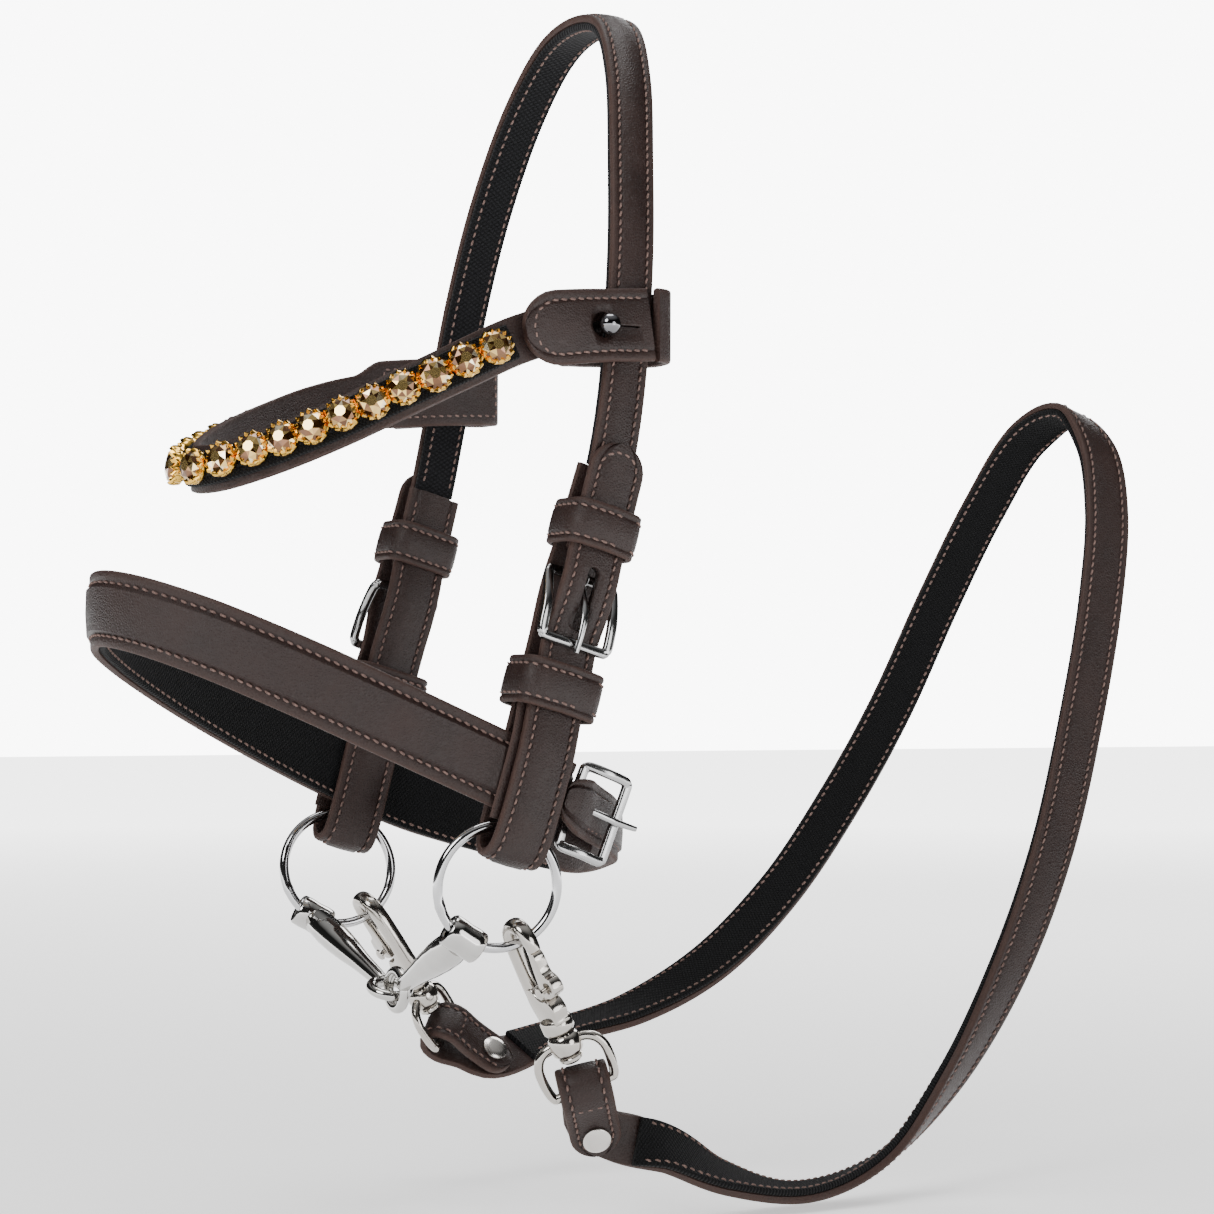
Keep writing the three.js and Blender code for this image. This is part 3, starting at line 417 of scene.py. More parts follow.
def web_section(low, high):
    """Section of a woven lining: thin, with soft rolled edges."""
    edge = [(0.0, (low + high) / 2, 0.6), (0.1, high - 0.3, 0.5), (0.45, high, 0.2), (1.6, high - 0.05, 0.0)]
    under = [(1.6, low + 0.05, 0.0), (0.45, low, 0.2), (0.1, low + 0.3, 0.5)]
    section = [(-1, *step) for step in edge] + [(0, 0, high, 0.0)] + [(1, *step) for step in reversed(edge)]
    section += [(1, *step) for step in reversed(under)] + [(0, 0, low, 0.0)]
    return section + [(-1, *step) for step in under]


def stretch(start, end, step, round_start=0.0, round_end=0.0):
    """Distances along a strap, closer together where an end is rounded off."""
    lead = [round_start * (1 - math.cos(math.radians(a))) for a in (14, 26, 38, 50, 62,
                                                                    76)] if round_start else [0]
    tail = [round_end * (1 - math.cos(math.radians(a))) for a in (76, 62, 50, 38, 26,
                                                                  14)] if round_end else [0]
    low, high = start + round_start, end - round_end
    count = max(2, round((high - low) / step))
    middle = [low + (high - low) * i / count for i in range(count + 1)]
    if not round_start:
        lead = []
    if not round_end:
        tail = []
    return [start + d for d in lead] + middle + [end - d for d in tail]


def rounded(width, start, end, round_start=0.0, round_end=0.0):
    """Half the width of a strap at a distance, falling to nothing round its ends."""
    def half(distance):
        full = width(distance) / 2 if callable(width) else width / 2
        for left, reach in ((distance - start, round_start), (end - distance, round_end)):
            if reach and left < reach:
                full *= math.sqrt(max(0.0, 1 - (1 - max(left, 0.0) / reach) ** 2))
        return full
    return half


def strap(name, route, section, width, start=0.0, end=None, step=1.6, round_start=0.0, round_end=0.0,
          shift=0.0):
    """One layer of a strap along a route. Returns the object and its half-width function."""
    end = route.length if end is None else end
    half = rounded(width, start, end, round_start, round_end)
    frames = []
    for distance in stretch(start, end, step, round_start, round_end):
        point, _, face, across = route.at(distance)
        frames.append((point + across * shift, face, across, half(distance), distance))
    return band(name, frames, section), half


# ---- stitching ------------------------------------------------------------------------------------

STITCH_RINGS = ((-0.78, 0.1, -0.3), (-0.42, 0.27, 0.0), (0.42, 0.27, 0.04), (0.78, 0.1, -0.26))
STITCH_SIDES = 6


def one_stitch(centre, along, face, points, faces, slant):
    across = along.cross(face)
    ahead = (along + across * slant).normalized()
    side = ahead.cross(face)
    first = len(points)
    for reach, radius, lift in STITCH_RINGS:
        for j in range(STITCH_SIDES):
            angle = 2 * math.pi * j / STITCH_SIDES
            points.append(centre + ahead * reach + face * (lift + radius * math.sin(angle))
                          + side * radius * math.cos(angle))
    for i in range(len(STITCH_RINGS) - 1):
        for j in range(STITCH_SIDES):
            k = (j + 1) % STITCH_SIDES
            a, b = first + i * STITCH_SIDES, first + (i + 1) * STITCH_SIDES
            faces.append((a + k, a + j, b + j, b + k))
    faces.append(tuple(first + j for j in range(STITCH_SIDES)))
    last = first + (len(STITCH_RINGS) - 1) * STITCH_SIDES
    faces.append(tuple(last + j for j in reversed(range(STITCH_SIDES))))


def resample(path, pitch):
    """Evenly spaced (place, direction) pairs along a path of flat points."""
    lengths = [math.dist(a, b) for a, b in zip(path, path[1:])]
    total = sum(lengths)
    count = max(1, round(total / pitch))
    spots = []
    walked, i = 0.0, 0
    for n in range(count):
        goal = total * (n + 0.5) / count
        while i < len(lengths) - 1 and walked + lengths[i] < goal:
            walked += lengths[i]
            i += 1
        (ax, ay), (bx, by) = path[i], path[i + 1]
        w = (goal - walked) / lengths[i]
        spots.append(((ax + (bx - ax) * w, ay + (by - ay) * w),
                      ((bx - ax) / lengths[i], (by - ay) / lengths[i])))
    return spots


def stitching(name, runs, seed=3):
    """Stitches along runs of (route, path of (distance, across), height), all in one mesh."""
    rng = random.Random(seed)
    points, faces = [], []
    pitch = props().stitch_pitch / MM
    for route, path, height in runs:
        level = height if callable(height) else (lambda offset, flat=height: flat)
        flip = 1 if level(0) >= 0 else -1
        for (distance, offset), (ahead, aside) in resample(path, pitch):
            point, along, face, across = route.at(distance)
            centre = point + across * offset + face * level(offset)
            way = (along * ahead + across * aside).normalized()
            one_stitch(centre, way, face * flip, points, faces, 0.16 + rng.uniform(-0.05, 0.05))
    obj = new_mesh(name, points, faces, 60.0)
    obj.data.materials.append(material("thread"))
    return obj


def edge_lines(start, end, half, inset=STITCH_INSET, step=4.0):
    """The two straight stitch lines of a strap, each inset from its edge."""
    count = max(2, round((end - start) / step))
    marks = [start + (end - start) * i / count for i in range(count + 1)]
    return [[(d, side * (half(d) - inset)) for d in marks] for side in (-1, 1)]


def tip_line(start, end, half_width, reach, inset=STITCH_INSET):
    """One stitch line along a strap, round its rounded end and back."""
    out = half_width - inset
    turn = end - reach
    arc = [(turn + (reach - inset) * math.sin(math.radians(a)), out * math.cos(math.radians(a)))
           for a in range(0, 181, 15)]
    return [(start, out)] + arc + [(start, -out)]


# ---- shared surface effects -----------------------------------------------------------------------

class Nodes:
    """A small helper that adds and joins the nodes of one tree."""

    def __init__(self, tree):
        self.tree = tree

    def add(self, kind, inputs=None, **settings):
        node = self.tree.nodes.new(kind)
        for key, value in settings.items():
            setattr(node, key, value)
        for key, value in (inputs or {}).items():
            self.feed(value, node.inputs[key])
        return node

    def feed(self, value, socket):
        if isinstance(value, bpy.types.NodeSocket):
            self.tree.links.new(value, socket)
        else:
            socket.default_value = value

    def math(self, operation, a, b=0.0, clamp=False):
        return self.add("ShaderNodeMath", {0: a, 1: b}, operation=operation, use_clamp=clamp).outputs[0]

    def ramp(self, value, stops):
        node = self.add("ShaderNodeValToRGB", {"Fac": value})
        ramp = node.color_ramp
        while len(ramp.elements) < len(stops):
            ramp.elements.new(0.5)
        for element, (position, color) in zip(ramp.elements, stops):
            element.position = position
            element.color = (*color, 1.0) if len(color) == 3 else color
        return node.outputs["Color"]

    def mix(self, factor, a, b, blend="MIX"):
        node = self.add("ShaderNodeMix", data_type="RGBA", blend_type=blend)
        self.feed(factor, node.inputs[0])
        self.feed(a if isinstance(a, bpy.types.NodeSocket) else (*a, 1.0), node.inputs[6])
        self.feed(b if isinstance(b, bpy.types.NodeSocket) else (*b, 1.0), node.inputs[7])
        return node.outputs[2]

    def range(self, value, low, high):
        node = self.add("ShaderNodeMapRange", {"Value": value, "To Min": low, "To Max": high})
        return node.outputs["Result"]


def effect(name, inputs, outputs, build):
    """A shader node group with named sockets, built once."""
    if name in bpy.data.node_groups:
        return bpy.data.node_groups[name]
    group = bpy.data.node_groups.new(name, "ShaderNodeTree")
    for label, kind, default in inputs:
        socket = group.interface.new_socket(name=label, in_out="INPUT", socket_type=kind)
        if default is not None:
            socket.default_value = default
    for label, kind in outputs:
        group.interface.new_socket(name=label, in_out="OUTPUT", socket_type=kind)
    n = Nodes(group)
    build(n, n.add("NodeGroupInput").outputs, n.add("NodeGroupOutput").inputs)
    return group


def build_grain(n, given, out):
    cells = n.add("ShaderNodeTexVoronoi", {"Vector": given["Vector"], "Scale": given["Scale"]},
                  feature="DISTANCE_TO_EDGE")
    wrinkles = n.add("ShaderNodeTexNoise", {"Vector": given["Vector"], "Scale": given["Scale"],
                                           "Detail": 4.0, "Roughness": 0.6})
    broad = n.add("ShaderNodeTexNoise", {"Vector": given["Vector"], "Scale": 90.0, "Detail": 3.0})
    cell = n.math("MINIMUM", n.math("MULTIPLY", cells.outputs["Distance"], 3.0), 1.0)
    fine = n.math("MULTIPLY", wrinkles.outputs["Fac"], 0.5)
    n.feed(n.math("ADD", n.math("MULTIPLY", cell, 0.6), fine), out["Height"])
    n.feed(n.range(broad.outputs["Fac"], -0.35, 1.35), out["Mottle"])


def build_wear(n, given, out):
    marks = n.add("ShaderNodeAttribute", attribute_name="wear", attribute_type="GEOMETRY")
    breakup = n.add("ShaderNodeTexNoise", {"Vector": given["Vector"], "Scale": 420.0, "Detail": 3.0})
    worn = n.math("MULTIPLY", marks.outputs["Fac"], n.range(breakup.outputs["Fac"], 0.35, 1.25))
    n.feed(n.math("MULTIPLY", worn, given["Amount"], clamp=True), out["Mask"])


def build_weave(n, given, out):
    parts = n.add("ShaderNodeSeparateXYZ", {"Vector": given["Vector"]})
    along = n.math("MULTIPLY", parts.outputs["X"], given["Along"])
    across = n.math("MULTIPLY", parts.outputs["Y"], given["Across"])
    weft = n.math("ABSOLUTE", n.math("SINE", n.math("ADD", along, across)))
    warp = n.math("ABSOLUTE", n.math("SINE", n.math("SUBTRACT", along, n.math("MULTIPLY", across, 0.55))))
    fuzz = n.add("ShaderNodeTexNoise", {"Vector": given["Vector"], "Scale": 2600.0, "Detail": 3.0})
    thread = n.math("MULTIPLY", weft, warp)
    n.feed(n.math("ADD", n.math("MULTIPLY", thread, 0.7), n.math("MULTIPLY", fuzz.outputs["Fac"], 0.5)),
           out["Height"])
    # The thread tops, which the webbing colour paints lighter as a painted highlight.
    n.feed(n.math("MULTIPLY", thread, n.range(fuzz.outputs["Fac"], 0.3, 1.5), clamp=True), out["Painted crest highlight"])


def build_handling(n, given, out):
    smudge = n.add("ShaderNodeTexNoise", {"Vector": given["Vector"], "Scale": 260.0, "Detail": 4.0})
    scratch = n.add("ShaderNodeTexNoise", {"Vector": given["Vector"], "Scale": 1800.0, "Detail": 2.0})
    n.feed(n.range(smudge.outputs["Fac"], 0.0, 1.0), out["Smudge"])
    n.feed(scratch.outputs["Fac"], out["Height"])


VECTOR, FLOAT = "NodeSocketVector", "NodeSocketFloat"
EFFECTS = {
    "Leather grain": ([("Vector", VECTOR, None), ("Scale", FLOAT, 1500.0)],
                      [("Height", FLOAT), ("Mottle", FLOAT)], build_grain),
    "Edge wear": ([("Vector", VECTOR, None), ("Amount", FLOAT, 1.0)], [("Mask", FLOAT)], build_wear),
    "Web weave": ([("Vector", VECTOR, None), ("Along", FLOAT, 3000.0), ("Across", FLOAT, 3000.0)],
                  [("Height", FLOAT), ("Painted crest highlight", FLOAT)], build_weave),
    "Metal handling": ([("Vector", VECTOR, None)], [("Smudge", FLOAT), ("Height", FLOAT)],
                       build_handling),
}


def use_effect(n, name, **inputs):
    group = n.add("ShaderNodeGroup")
    group.node_tree = effect(name, *EFFECTS[name])
    for label, value in inputs.items():
        n.feed(value, group.inputs[label])
    return group.outputs


# ---- materials ------------------------------------------------------------------------------------

def start_material(name):
    made = bpy.data.materials.new(name)
    made.use_nodes = True
    n = Nodes(made.node_tree)
    shader = made.node_tree.nodes["Principled BSDF"]
    place = n.add("ShaderNodeTexCoord").outputs["Object"]
    return made, n, shader, place


def relief(n, shader, height, distance, strength=1.0):
    bump = n.add("ShaderNodeBump", {"Height": height, "Strength": strength, "Distance": distance})
    n.feed(bump.outputs["Normal"], shader.inputs["Normal"])


def make_leather(name, color, worn, amount=1.0, rough=(0.38, 0.54), grain=1500.0, coat=0.05):
    made, n, shader, place = start_material(name)
    surface = use_effect(n, "Leather grain", Vector=place, Scale=grain)
    edge = use_effect(n, "Edge wear", Vector=place, Amount=amount)
    deep = tuple(c * 0.55 for c in color)
    body = n.mix(surface["Mottle"], deep, color)
    n.feed(n.mix(edge["Mask"], body, worn), shader.inputs["Base Color"])
    gloss = n.range(surface["Mottle"], *rough)
    n.feed(n.math("ADD", gloss, n.math("MULTIPLY", edge["Mask"], 0.3), clamp=True),
           shader.inputs["Roughness"])
    shader.inputs["Specular IOR Level"].default_value = 0.36
    shader.inputs["Coat Weight"].default_value = coat
    shader.inputs["Coat Roughness"].default_value = 0.3
    relief(n, shader, surface["Height"], 0.00014, 0.9)
    return made


def make_webbing(name, color, crest_highlight, along, across, depth):
    made, n, shader, _ = start_material(name)
    flat = n.add("ShaderNodeUVMap", uv_map="Strap").outputs["UV"]
    cloth = use_effect(n, "Web weave", Vector=flat, Along=along, Across=across)
    # Painted highlight: the crests of the weave get the lighter colour.
    n.feed(n.mix(cloth["Painted crest highlight"], color, crest_highlight), shader.inputs["Base Color"])
    shader.inputs["Roughness"].default_value = 0.92
    shader.inputs["Sheen Weight"].default_value = 0.05
    shader.inputs["Specular IOR Level"].default_value = 0.2
    shader.inputs["Sheen Roughness"].default_value = 0.5
    relief(n, shader, cloth["Height"], depth)
    return made


def make_metal(name, color, low, high, scratch=0.15):
    made, n, shader, place = start_material(name)
    marks = use_effect(n, "Metal handling", Vector=place)
    dull = tuple(c * 0.86 for c in color)
    n.feed(n.mix(marks["Smudge"], color, dull), shader.inputs["Base Color"])
    shader.inputs["Metallic"].default_value = 1.0
    n.feed(n.range(marks["Smudge"], low, high), shader.inputs["Roughness"])
    relief(n, shader, marks["Height"], 0.00001, scratch)
    return made


def make_thread(name, color, shadow):
    made, n, shader, place = start_material(name)
    twist = n.add("ShaderNodeTexWave", {"Vector": place, "Scale": 900.0, "Distortion": 2.0, "Detail": 1.0})
    n.feed(n.mix(twist.outputs["Fac"], shadow, color), shader.inputs["Base Color"])
    shader.inputs["Roughness"].default_value = 0.75
    relief(n, shader, twist.outputs["Fac"], 0.00005, 0.6)
    return made


def make_stone(name, pale, amber):
    made, n, shader, place = start_material(name)
    # The stone's champagne colour, shaded facet by facet from dark amber to near white: painted reflections
    # and glints on the cut faces.
    facet_glint = n.add("ShaderNodeAttribute", attribute_name="facet_glint", attribute_type="GEOMETRY").outputs["Fac"]
    tone = n.ramp(facet_glint, [(0.0, amber), (0.45, tuple(c * 1.6 for c in amber)), (0.75, pale),
                          (1.0, (1.0, 0.9, 0.66))])
    cloud = n.add("ShaderNodeTexNoise", {"Vector": place, "Scale": 700.0})
    n.feed(n.mix(n.math("MULTIPLY", cloud.outputs["Fac"], 0.25), tone, amber), shader.inputs["Base Color"])
    shader.inputs["Metallic"].default_value = 0.9
    shader.inputs["Roughness"].default_value = 0.06
    shader.inputs["IOR"].default_value = 1.8
    shader.inputs["Coat Weight"].default_value = 1.0
    shader.inputs["Coat Roughness"].default_value = 0.02
    return made


def make_ground(name, color):
    made, n, shader, place = start_material(name)
    cloud = n.add("ShaderNodeTexNoise", {"Vector": place, "Scale": 3.0, "Detail": 2.0})
    n.feed(n.mix(n.math("MULTIPLY", cloud.outputs["Fac"], 0.04), color, tuple(c * 0.94 for c in color)),
           shader.inputs["Base Color"])
    shader.inputs["Roughness"].default_value = 0.9
    # Painted light: the floor glows, more strongly further from the middle, so that it fades into the white
    # surroundings.
    away = n.add("ShaderNodeVectorMath", {"Vector": place}, operation="LENGTH").outputs["Value"]
    shader.inputs["Emission Color"].default_value = (1, 1, 1, 1)
    glow = n.add("ShaderNodeMapRange", {"Value": away, "From Min": 0.2, "From Max": 2.2, "To Min": 0.6,
                                        "To Max": 4.0})
    n.feed(glow.outputs["Result"], shader.inputs["Emission Strength"])
    return made


MATERIALS = {
    "leather": lambda p: make_leather("dark_brown_leather", p.leather_color, p.edge_color),
    # Each webbing's second colour is the painted highlight on its weave crests.
    "crown_web": lambda p: make_webbing("coarse_black_webbing", (0.001, 0.001, 0.0012), (0.011, 0.011, 0.013),
                                        2700.0, 2300.0, 0.00022),
    "felt": lambda p: make_webbing("brushed_black_webbing", (0.001, 0.001, 0.0012), (0.007, 0.007, 0.008),
                                   3600.0, 3300.0, 0.0003),
    "ring": lambda p: make_metal("polished_ring_steel", (0.6, 0.6, 0.61), 0.05, 0.14),
    "bit": lambda p: make_metal("polished_bit_nickel", (0.58, 0.57, 0.55), 0.05, 0.14),
    "snap": lambda p: make_metal("plated_snap_nickel", (0.55, 0.52, 0.48), 0.08, 0.2, 0.4),
    "buckle": lambda p: make_metal("buckle_steel", (0.48, 0.48, 0.48), 0.1, 0.22),
    "rivet": lambda p: make_metal("rivet_nickel", (0.72, 0.69, 0.65), 0.16, 0.3, 0.3),
    "gunmetal": lambda p: make_metal("gunmetal_stud", (0.2, 0.2, 0.21), 0.04, 0.1),
    "gold": lambda p: make_metal("gold_cups", (0.9, 0.53, 0.09), 0.1, 0.22, 0.3),
    "thread": lambda p: make_thread("waxed_thread", p.thread_color, tuple(c * 0.5 for c in p.thread_color)),
    "stone": lambda p: make_stone("champagne_stone", (1.0, 0.68, 0.2), (0.1, 0.035, 0.004)),
    "ground": lambda p: make_ground("pale_ground", p.ground_color),
}
MADE = {}


def material(key):
    """The material of this name, made when it is first asked for."""
    if key not in MADE:
        MADE[key] = MATERIALS[key](props())
    return MADE[key]


def finish_piece(obj, finish, body=BODY, replaces=()):
    """Gives a piece its finish, the body it rides on and the CAD nodes it stands for."""
    if not obj.data.materials:
        obj.data.materials.append(material(finish))
    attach(obj, body)
    if replaces:
        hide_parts(*replaces)
    return obj

# ---- metal pieces ---------------------------------------------------------------------------------

def lathe(name, profile, axis, origin, closed=False, steps=40, sharp=40.0):
    """A turned piece: (radius, height) pairs in millimetres spun about an axis from an origin."""
    mesh = bpy.data.meshes.new(name)
    points = [(r * MM, 0.0, h * MM) for r, h in profile]
    edges = [(i, i + 1) for i in range(len(points) - 1)]
    if closed:
        edges.append((len(points) - 1, 0))
    mesh.from_pydata(points, edges, [])
    obj = bpy.data.objects.new(name, mesh)
    bpy.context.collection.objects.link(obj)
    only(obj)
    bpy.ops.object.mode_set(mode="EDIT")
    bpy.ops.mesh.select_all(action="SELECT")
    bpy.ops.mesh.spin(steps=steps, angle=2 * math.pi, center=(0, 0, 0), axis=(0, 0, 1))
    bpy.ops.object.mode_set(mode="OBJECT")
    tidy_normals(obj)
    shade(obj, sharp)
    return settle(obj, standing(axis, origin))


def hoop(name, centre, axis, line, wire, around=96, sides=16):
    """A round ring with the small swelling of its weld."""
    bpy.ops.object.select_all(action="DESELECT")
    bpy.ops.mesh.primitive_torus_add(major_segments=around, minor_segments=sides,
                                     major_radius=line * MM, minor_radius=wire * MM)
    obj = bpy.context.object
    obj.name = name
    for vertex in obj.data.vertices:
        angle = math.atan2(vertex.co.y, vertex.co.x) + 1.9
        if abs(angle) < 0.09:
            core = Vector((vertex.co.x, vertex.co.y, 0)).normalized() * line * MM
            vertex.co = core + (vertex.co - core) * (1 + 0.09 * (1 - abs(angle) / 0.09))
    shade(obj, 60)
    return settle(obj, standing(axis, centre))


def smooth_line(points, closed, count):
    """Evenly stepped points on a smooth line through the given ones."""
    last = len(points)
    spans = last if closed else last - 1
    made = []
    for i in range(count if closed else count + 1):
        place = spans * i / count
        j = min(int(place), spans - 1)
        w = place - j
        pick = (lambda k: points[k % last]) if closed else (lambda k: points[min(max(k, 0), last - 1)])
        p0, p1, p2, p3 = (pick(j + k) for k in (-1, 0, 1, 2))
        made.append(0.5 * (p1 * 2 + (p2 - p0) * w + (p0 * 2 - p1 * 5 + p2 * 4 - p3) * w * w
                           + (p1 * 3 - p0 - p2 * 3 + p3) * w * w * w))
    return made


def rod(name, points, flat, thick, lift, closed=False, steps=72, sides=14, square=1.0, sharp=50.0):
    """Metal stock along a smooth line. flat and thick are half sizes across and along lift, one number or
    one for each point; square over 1 makes the section boxier."""
    line = smooth_line(points, closed, steps)
    spans = len(points) - 1

    def sized(values, i):
        if not isinstance(values, (list, tuple)):
            return values
        place = spans * i / steps
        j = min(int(place), spans - 1)
        return values[j] + (values[j + 1] - values[j]) * (place - j)

    rings = []
    for i, point in enumerate(line):
        ahead = line[(i + 1) % len(line)] if closed or i + 1 < len(line) else point
        behind = line[i - 1] if closed or i > 0 else point
        along = (ahead - behind).normalized()
        up = (lift - along * lift.dot(along)).normalized()
        across = along.cross(up)
        ring = []
        for j in range(sides):
            c, s = math.cos(2 * math.pi * j / sides), math.sin(2 * math.pi * j / sides)
            x = math.copysign(abs(c) ** (1 / square), c) * sized(flat, i)
            y = math.copysign(abs(s) ** (1 / square), s) * sized(thick, i)
            ring.append(point + across * x + up * y)
        rings.append(ring)
    made = [p for ring in rings for p in ring]
    return new_mesh(name, made, outward(made, skin(rings, closed)), sharp)


def casting(name, outline, thickness, edge, frame_, count=0):
    """A flat cast piece: an outline of (away, drop) given a thickness and rounded edges."""
    away, down, through, origin = frame_
    flat = [Vector((a, d, 0)) for a, d in outline]
    if count:
        flat = smooth_line(flat, True, count)
    mesh = bpy.data.meshes.new(name)
    mesh.from_pydata([tuple(p * MM) for p in flat], [], [tuple(range(len(flat)))])
    obj = bpy.data.objects.new(name, mesh)
    bpy.context.collection.objects.link(obj)
    only(obj)
    bpy.ops.object.mode_set(mode="EDIT")
    bpy.ops.mesh.select_all(action="SELECT")
    bpy.ops.mesh.extrude_region_move(TRANSFORM_OT_translate={"value": (0, 0, thickness * MM)})
    bpy.ops.object.mode_set(mode="OBJECT")
    obj.data.transform(Matrix.Translation((0, 0, -thickness * MM / 2)))
    tidy_normals(obj)
    apply_modifier(obj, "BEVEL", width=edge * MM, segments=3, limit_method="ANGLE",
                   angle_limit=math.radians(50))
    shade(obj, 50)
    return settle(obj, basis(away, down, through, origin))


def carve(obj, *cutters):
    """Cuts other solids out of a piece and removes them."""
    for cutter in cutters:
        apply_modifier(obj, "BOOLEAN", operation="DIFFERENCE", object=cutter, solver="EXACT")
        bpy.data.objects.remove(cutter)


# ---- frames that the pieces share -----------------------------------------------------------------

class RingFrame:
    """Where a ring hangs in its cheekpiece, and how it lies."""

    def __init__(self, side):
        self.hang = cheek_point(side, FOLD_OUT, RING_HANG)
        self.down = DOWN * math.cos(RING_TILT) + Vector((-side * math.sin(RING_TILT), 0, 0))
        skewed = Matrix.Rotation(RING_SKEW, 3, self.down) @ BACK
        self.back = (skewed - self.down * skewed.dot(self.down)).normalized()
        self.centre = self.hang + self.down * RING_LINE
        self.axis = self.back.cross(self.down)

    def spot(self, angle):
        return self.centre + self.down * RING_LINE * math.cos(angle) + self.back * RING_LINE * math.sin(angle)


class SnapFrame:
    """How a swivel snap hangs: down its length, out through its mouth, and flat across it."""

    def __init__(self, name, side):
        angle = SNAP_ANGLE[name]
        self.grip = RingFrame(side).spot(angle)
        self.down = (BACK * math.sin(angle) + DOWN * math.cos(angle)).normalized()
        raw = OUT * side
        self.out = (raw - self.down * raw.dot(self.down)).normalized()
        self.flat = self.down.cross(self.out).normalized()
        turn = EYE_TURN[name]
        self.bar_line = (self.flat * -math.cos(turn) + self.out * side * math.sin(turn)).normalized()
        self.plane = self.bar_line.cross(self.down).normalized()
        self.bar_spot = self.eye_spot(SNAP_TO_BAR, 0)
        self.third = self.out.cross(self.down)

    def spot(self, drop, away=0.0, through=0.0):
        return self.grip + self.down * drop + self.out * away + self.flat * through

    def eye_spot(self, drop, across):
        return self.grip + self.down * drop + self.bar_line * across


def mirrored(rows, side):
    return [(Vector((side * x, y, z)), Vector((side * out, 0, up))) for x, y, z, out, up in rows]


def crown_route():
    halves = []
    for side in (1, -1):
        half = mirrored(CROWN_HALF, side)
        half.append((cheek_point(side, 39.5, BUCKLE_BAR[1] - 6), OUT * side))
        halves += list(reversed(half)) if side > 0 else half[1:]
    return Route(halves)


def cheek_route(side):
    return Route([(cheek_point(side, out, down), OUT * side * look_out + DOWN * look_down)
                  for out, down, look_out, look_down in CHEEK_LINE])


# ---- crownpiece -----------------------------------------------------------------------------------

def plain_section(low, high):
    """Section of a flat leather strap with burnished edges and no stitch grooves."""
    edge = [(0.0, (low + high) / 2, 1.0), (0.08, high - 0.45, 1.0), (0.3, high - 0.14, 0.8), (0.8, high, 0.3),
            (1.8, high, 0.0)]
    back = [(0.3, low + 0.14, 0.8), (0.8, low, 0.2)]
    top = [(-1, *step) for step in edge] + [(0, 0, high, 0.0)] + [(1, *step) for step in reversed(edge)]
    return top + [(1, *step) for step in back] + [(0, 0, low, 0.0)] + [(-1, *step) for step in reversed(back)]


def build_crown():
    route = crown_route()
    low = LINING + 1.5 * GAP
    high = low + LEATHER
    leather, half = strap("crown_leather", route, leather_section(low, high, 2.0), CROWN_WIDTH)
    finish_piece(leather, "leather", replaces=["crown_strap"])
    lining, web_half = strap("crown_web", route, web_section(0, low), CROWN_WIDTH - 0.8, 20,
                             route.length - 20)
    finish_piece(lining, "crown_web", replaces=["crown_lining"])
    runs = [(route, path, high + 0.02) for path in edge_lines(9, route.length - 9, half, 2.0)]
    runs += [(route, path, -0.04) for path in edge_lines(22, route.length - 22, web_half, 1.5)]
    finish_piece(stitching("crown_stitches", runs), "thread")


# ---- browband -------------------------------------------------------------------------------------

def ease(x, low, high):
    t = min(max((x - low) / (high - low), 0.0), 1.0)
    return t * t * (3 - 2 * t)


def browband_route():
    route = Route(BROWBAND_STOPS)

    def width(distance):
        loops = 1 - ease(distance, 38, 46) + ease(distance, route.length - 76, route.length - 68)
        return BROWBAND_WIDTH + (BROWBAND_LOOP_WIDTH - BROWBAND_WIDTH) * loops
    return route, width


def build_browband():
    route, width = browband_route()
    leather, half = strap("browband_leather", route, plain_section(-1, 1), width, step=1.4, round_end=3.0)
    finish_piece(leather, "leather", replaces=["browband_strap"])

    flap = Route(FLAP_STOPS)
    reach = BROWBAND_LOOP_WIDTH / 2
    piece, _ = strap("stud_flap_leather", flap, leather_section(-1, 1, 2.4, 0.12), BROWBAND_LOOP_WIDTH,
                     step=1.2, round_end=reach)
    stud = Vector((STUD["out"], STUD["y"], STUD["z"]))
    hole = lathe("stud_hole", [(0, -4), (3.0, -4), (3.0, 4), (0, 4)], OUT, stud + Vector((0, -0.5, 0)))
    slit = casting("stud_slit", [(0, -0.22), (8.4, -0.22), (8.8, 0), (8.4, 0.22), (0, 0.22)], 8, 0.01,
                   (Vector((0, 1, 0)), Vector((0, 0, 1)), OUT, stud))
    carve(piece, hole, slit)
    finish_piece(piece, "leather", "near_flap", ["browband_stud_flap"])
    seam = tip_line(1.5, flap.length, reach, reach, 2.4)
    finish_piece(stitching("stud_flap_stitches", [(flap, seam, 1.0)]), "thread", "near_flap")

    end = route.length
    inner = end - 68
    loop = half(end - 30) - 2.4
    box = [(inner, -loop), (inner, loop), (inner + 30, loop), (inner + 30, -loop), (inner, -loop)]
    outer = [(end - 34, loop), (end - 3, loop), (end - 3, -loop), (end - 34, -loop)]
    near = [(44, 6.1), (8, 6.1)], [(8, -6.1), (44, -6.1)]
    runs = [(route, box, 0.92), (route, outer, 0.92)] + [(route, path, 0.92) for path in near]
    finish_piece(stitching("browband_stitches", runs), "thread")

    inside = STUD["inside"] - STUD["out"]
    ball = [(2.5 * math.sin(math.radians(a)), 2.9 - 2.4 * math.cos(math.radians(a))) for a in range(50, 181,
                                                                                                    10)]
    profile = [(0, inside - 3), (2.7, inside - 2.9), (3, inside - 2.5), (3, inside - 1.9),
               (1.25, inside - 1.9),
               (1.25, 1.0), (1.7, 1.25)] + ball[1:]
    finish_piece(lathe("ball_stud", profile, OUT, stud), "gunmetal", replaces=["browband_stud"])


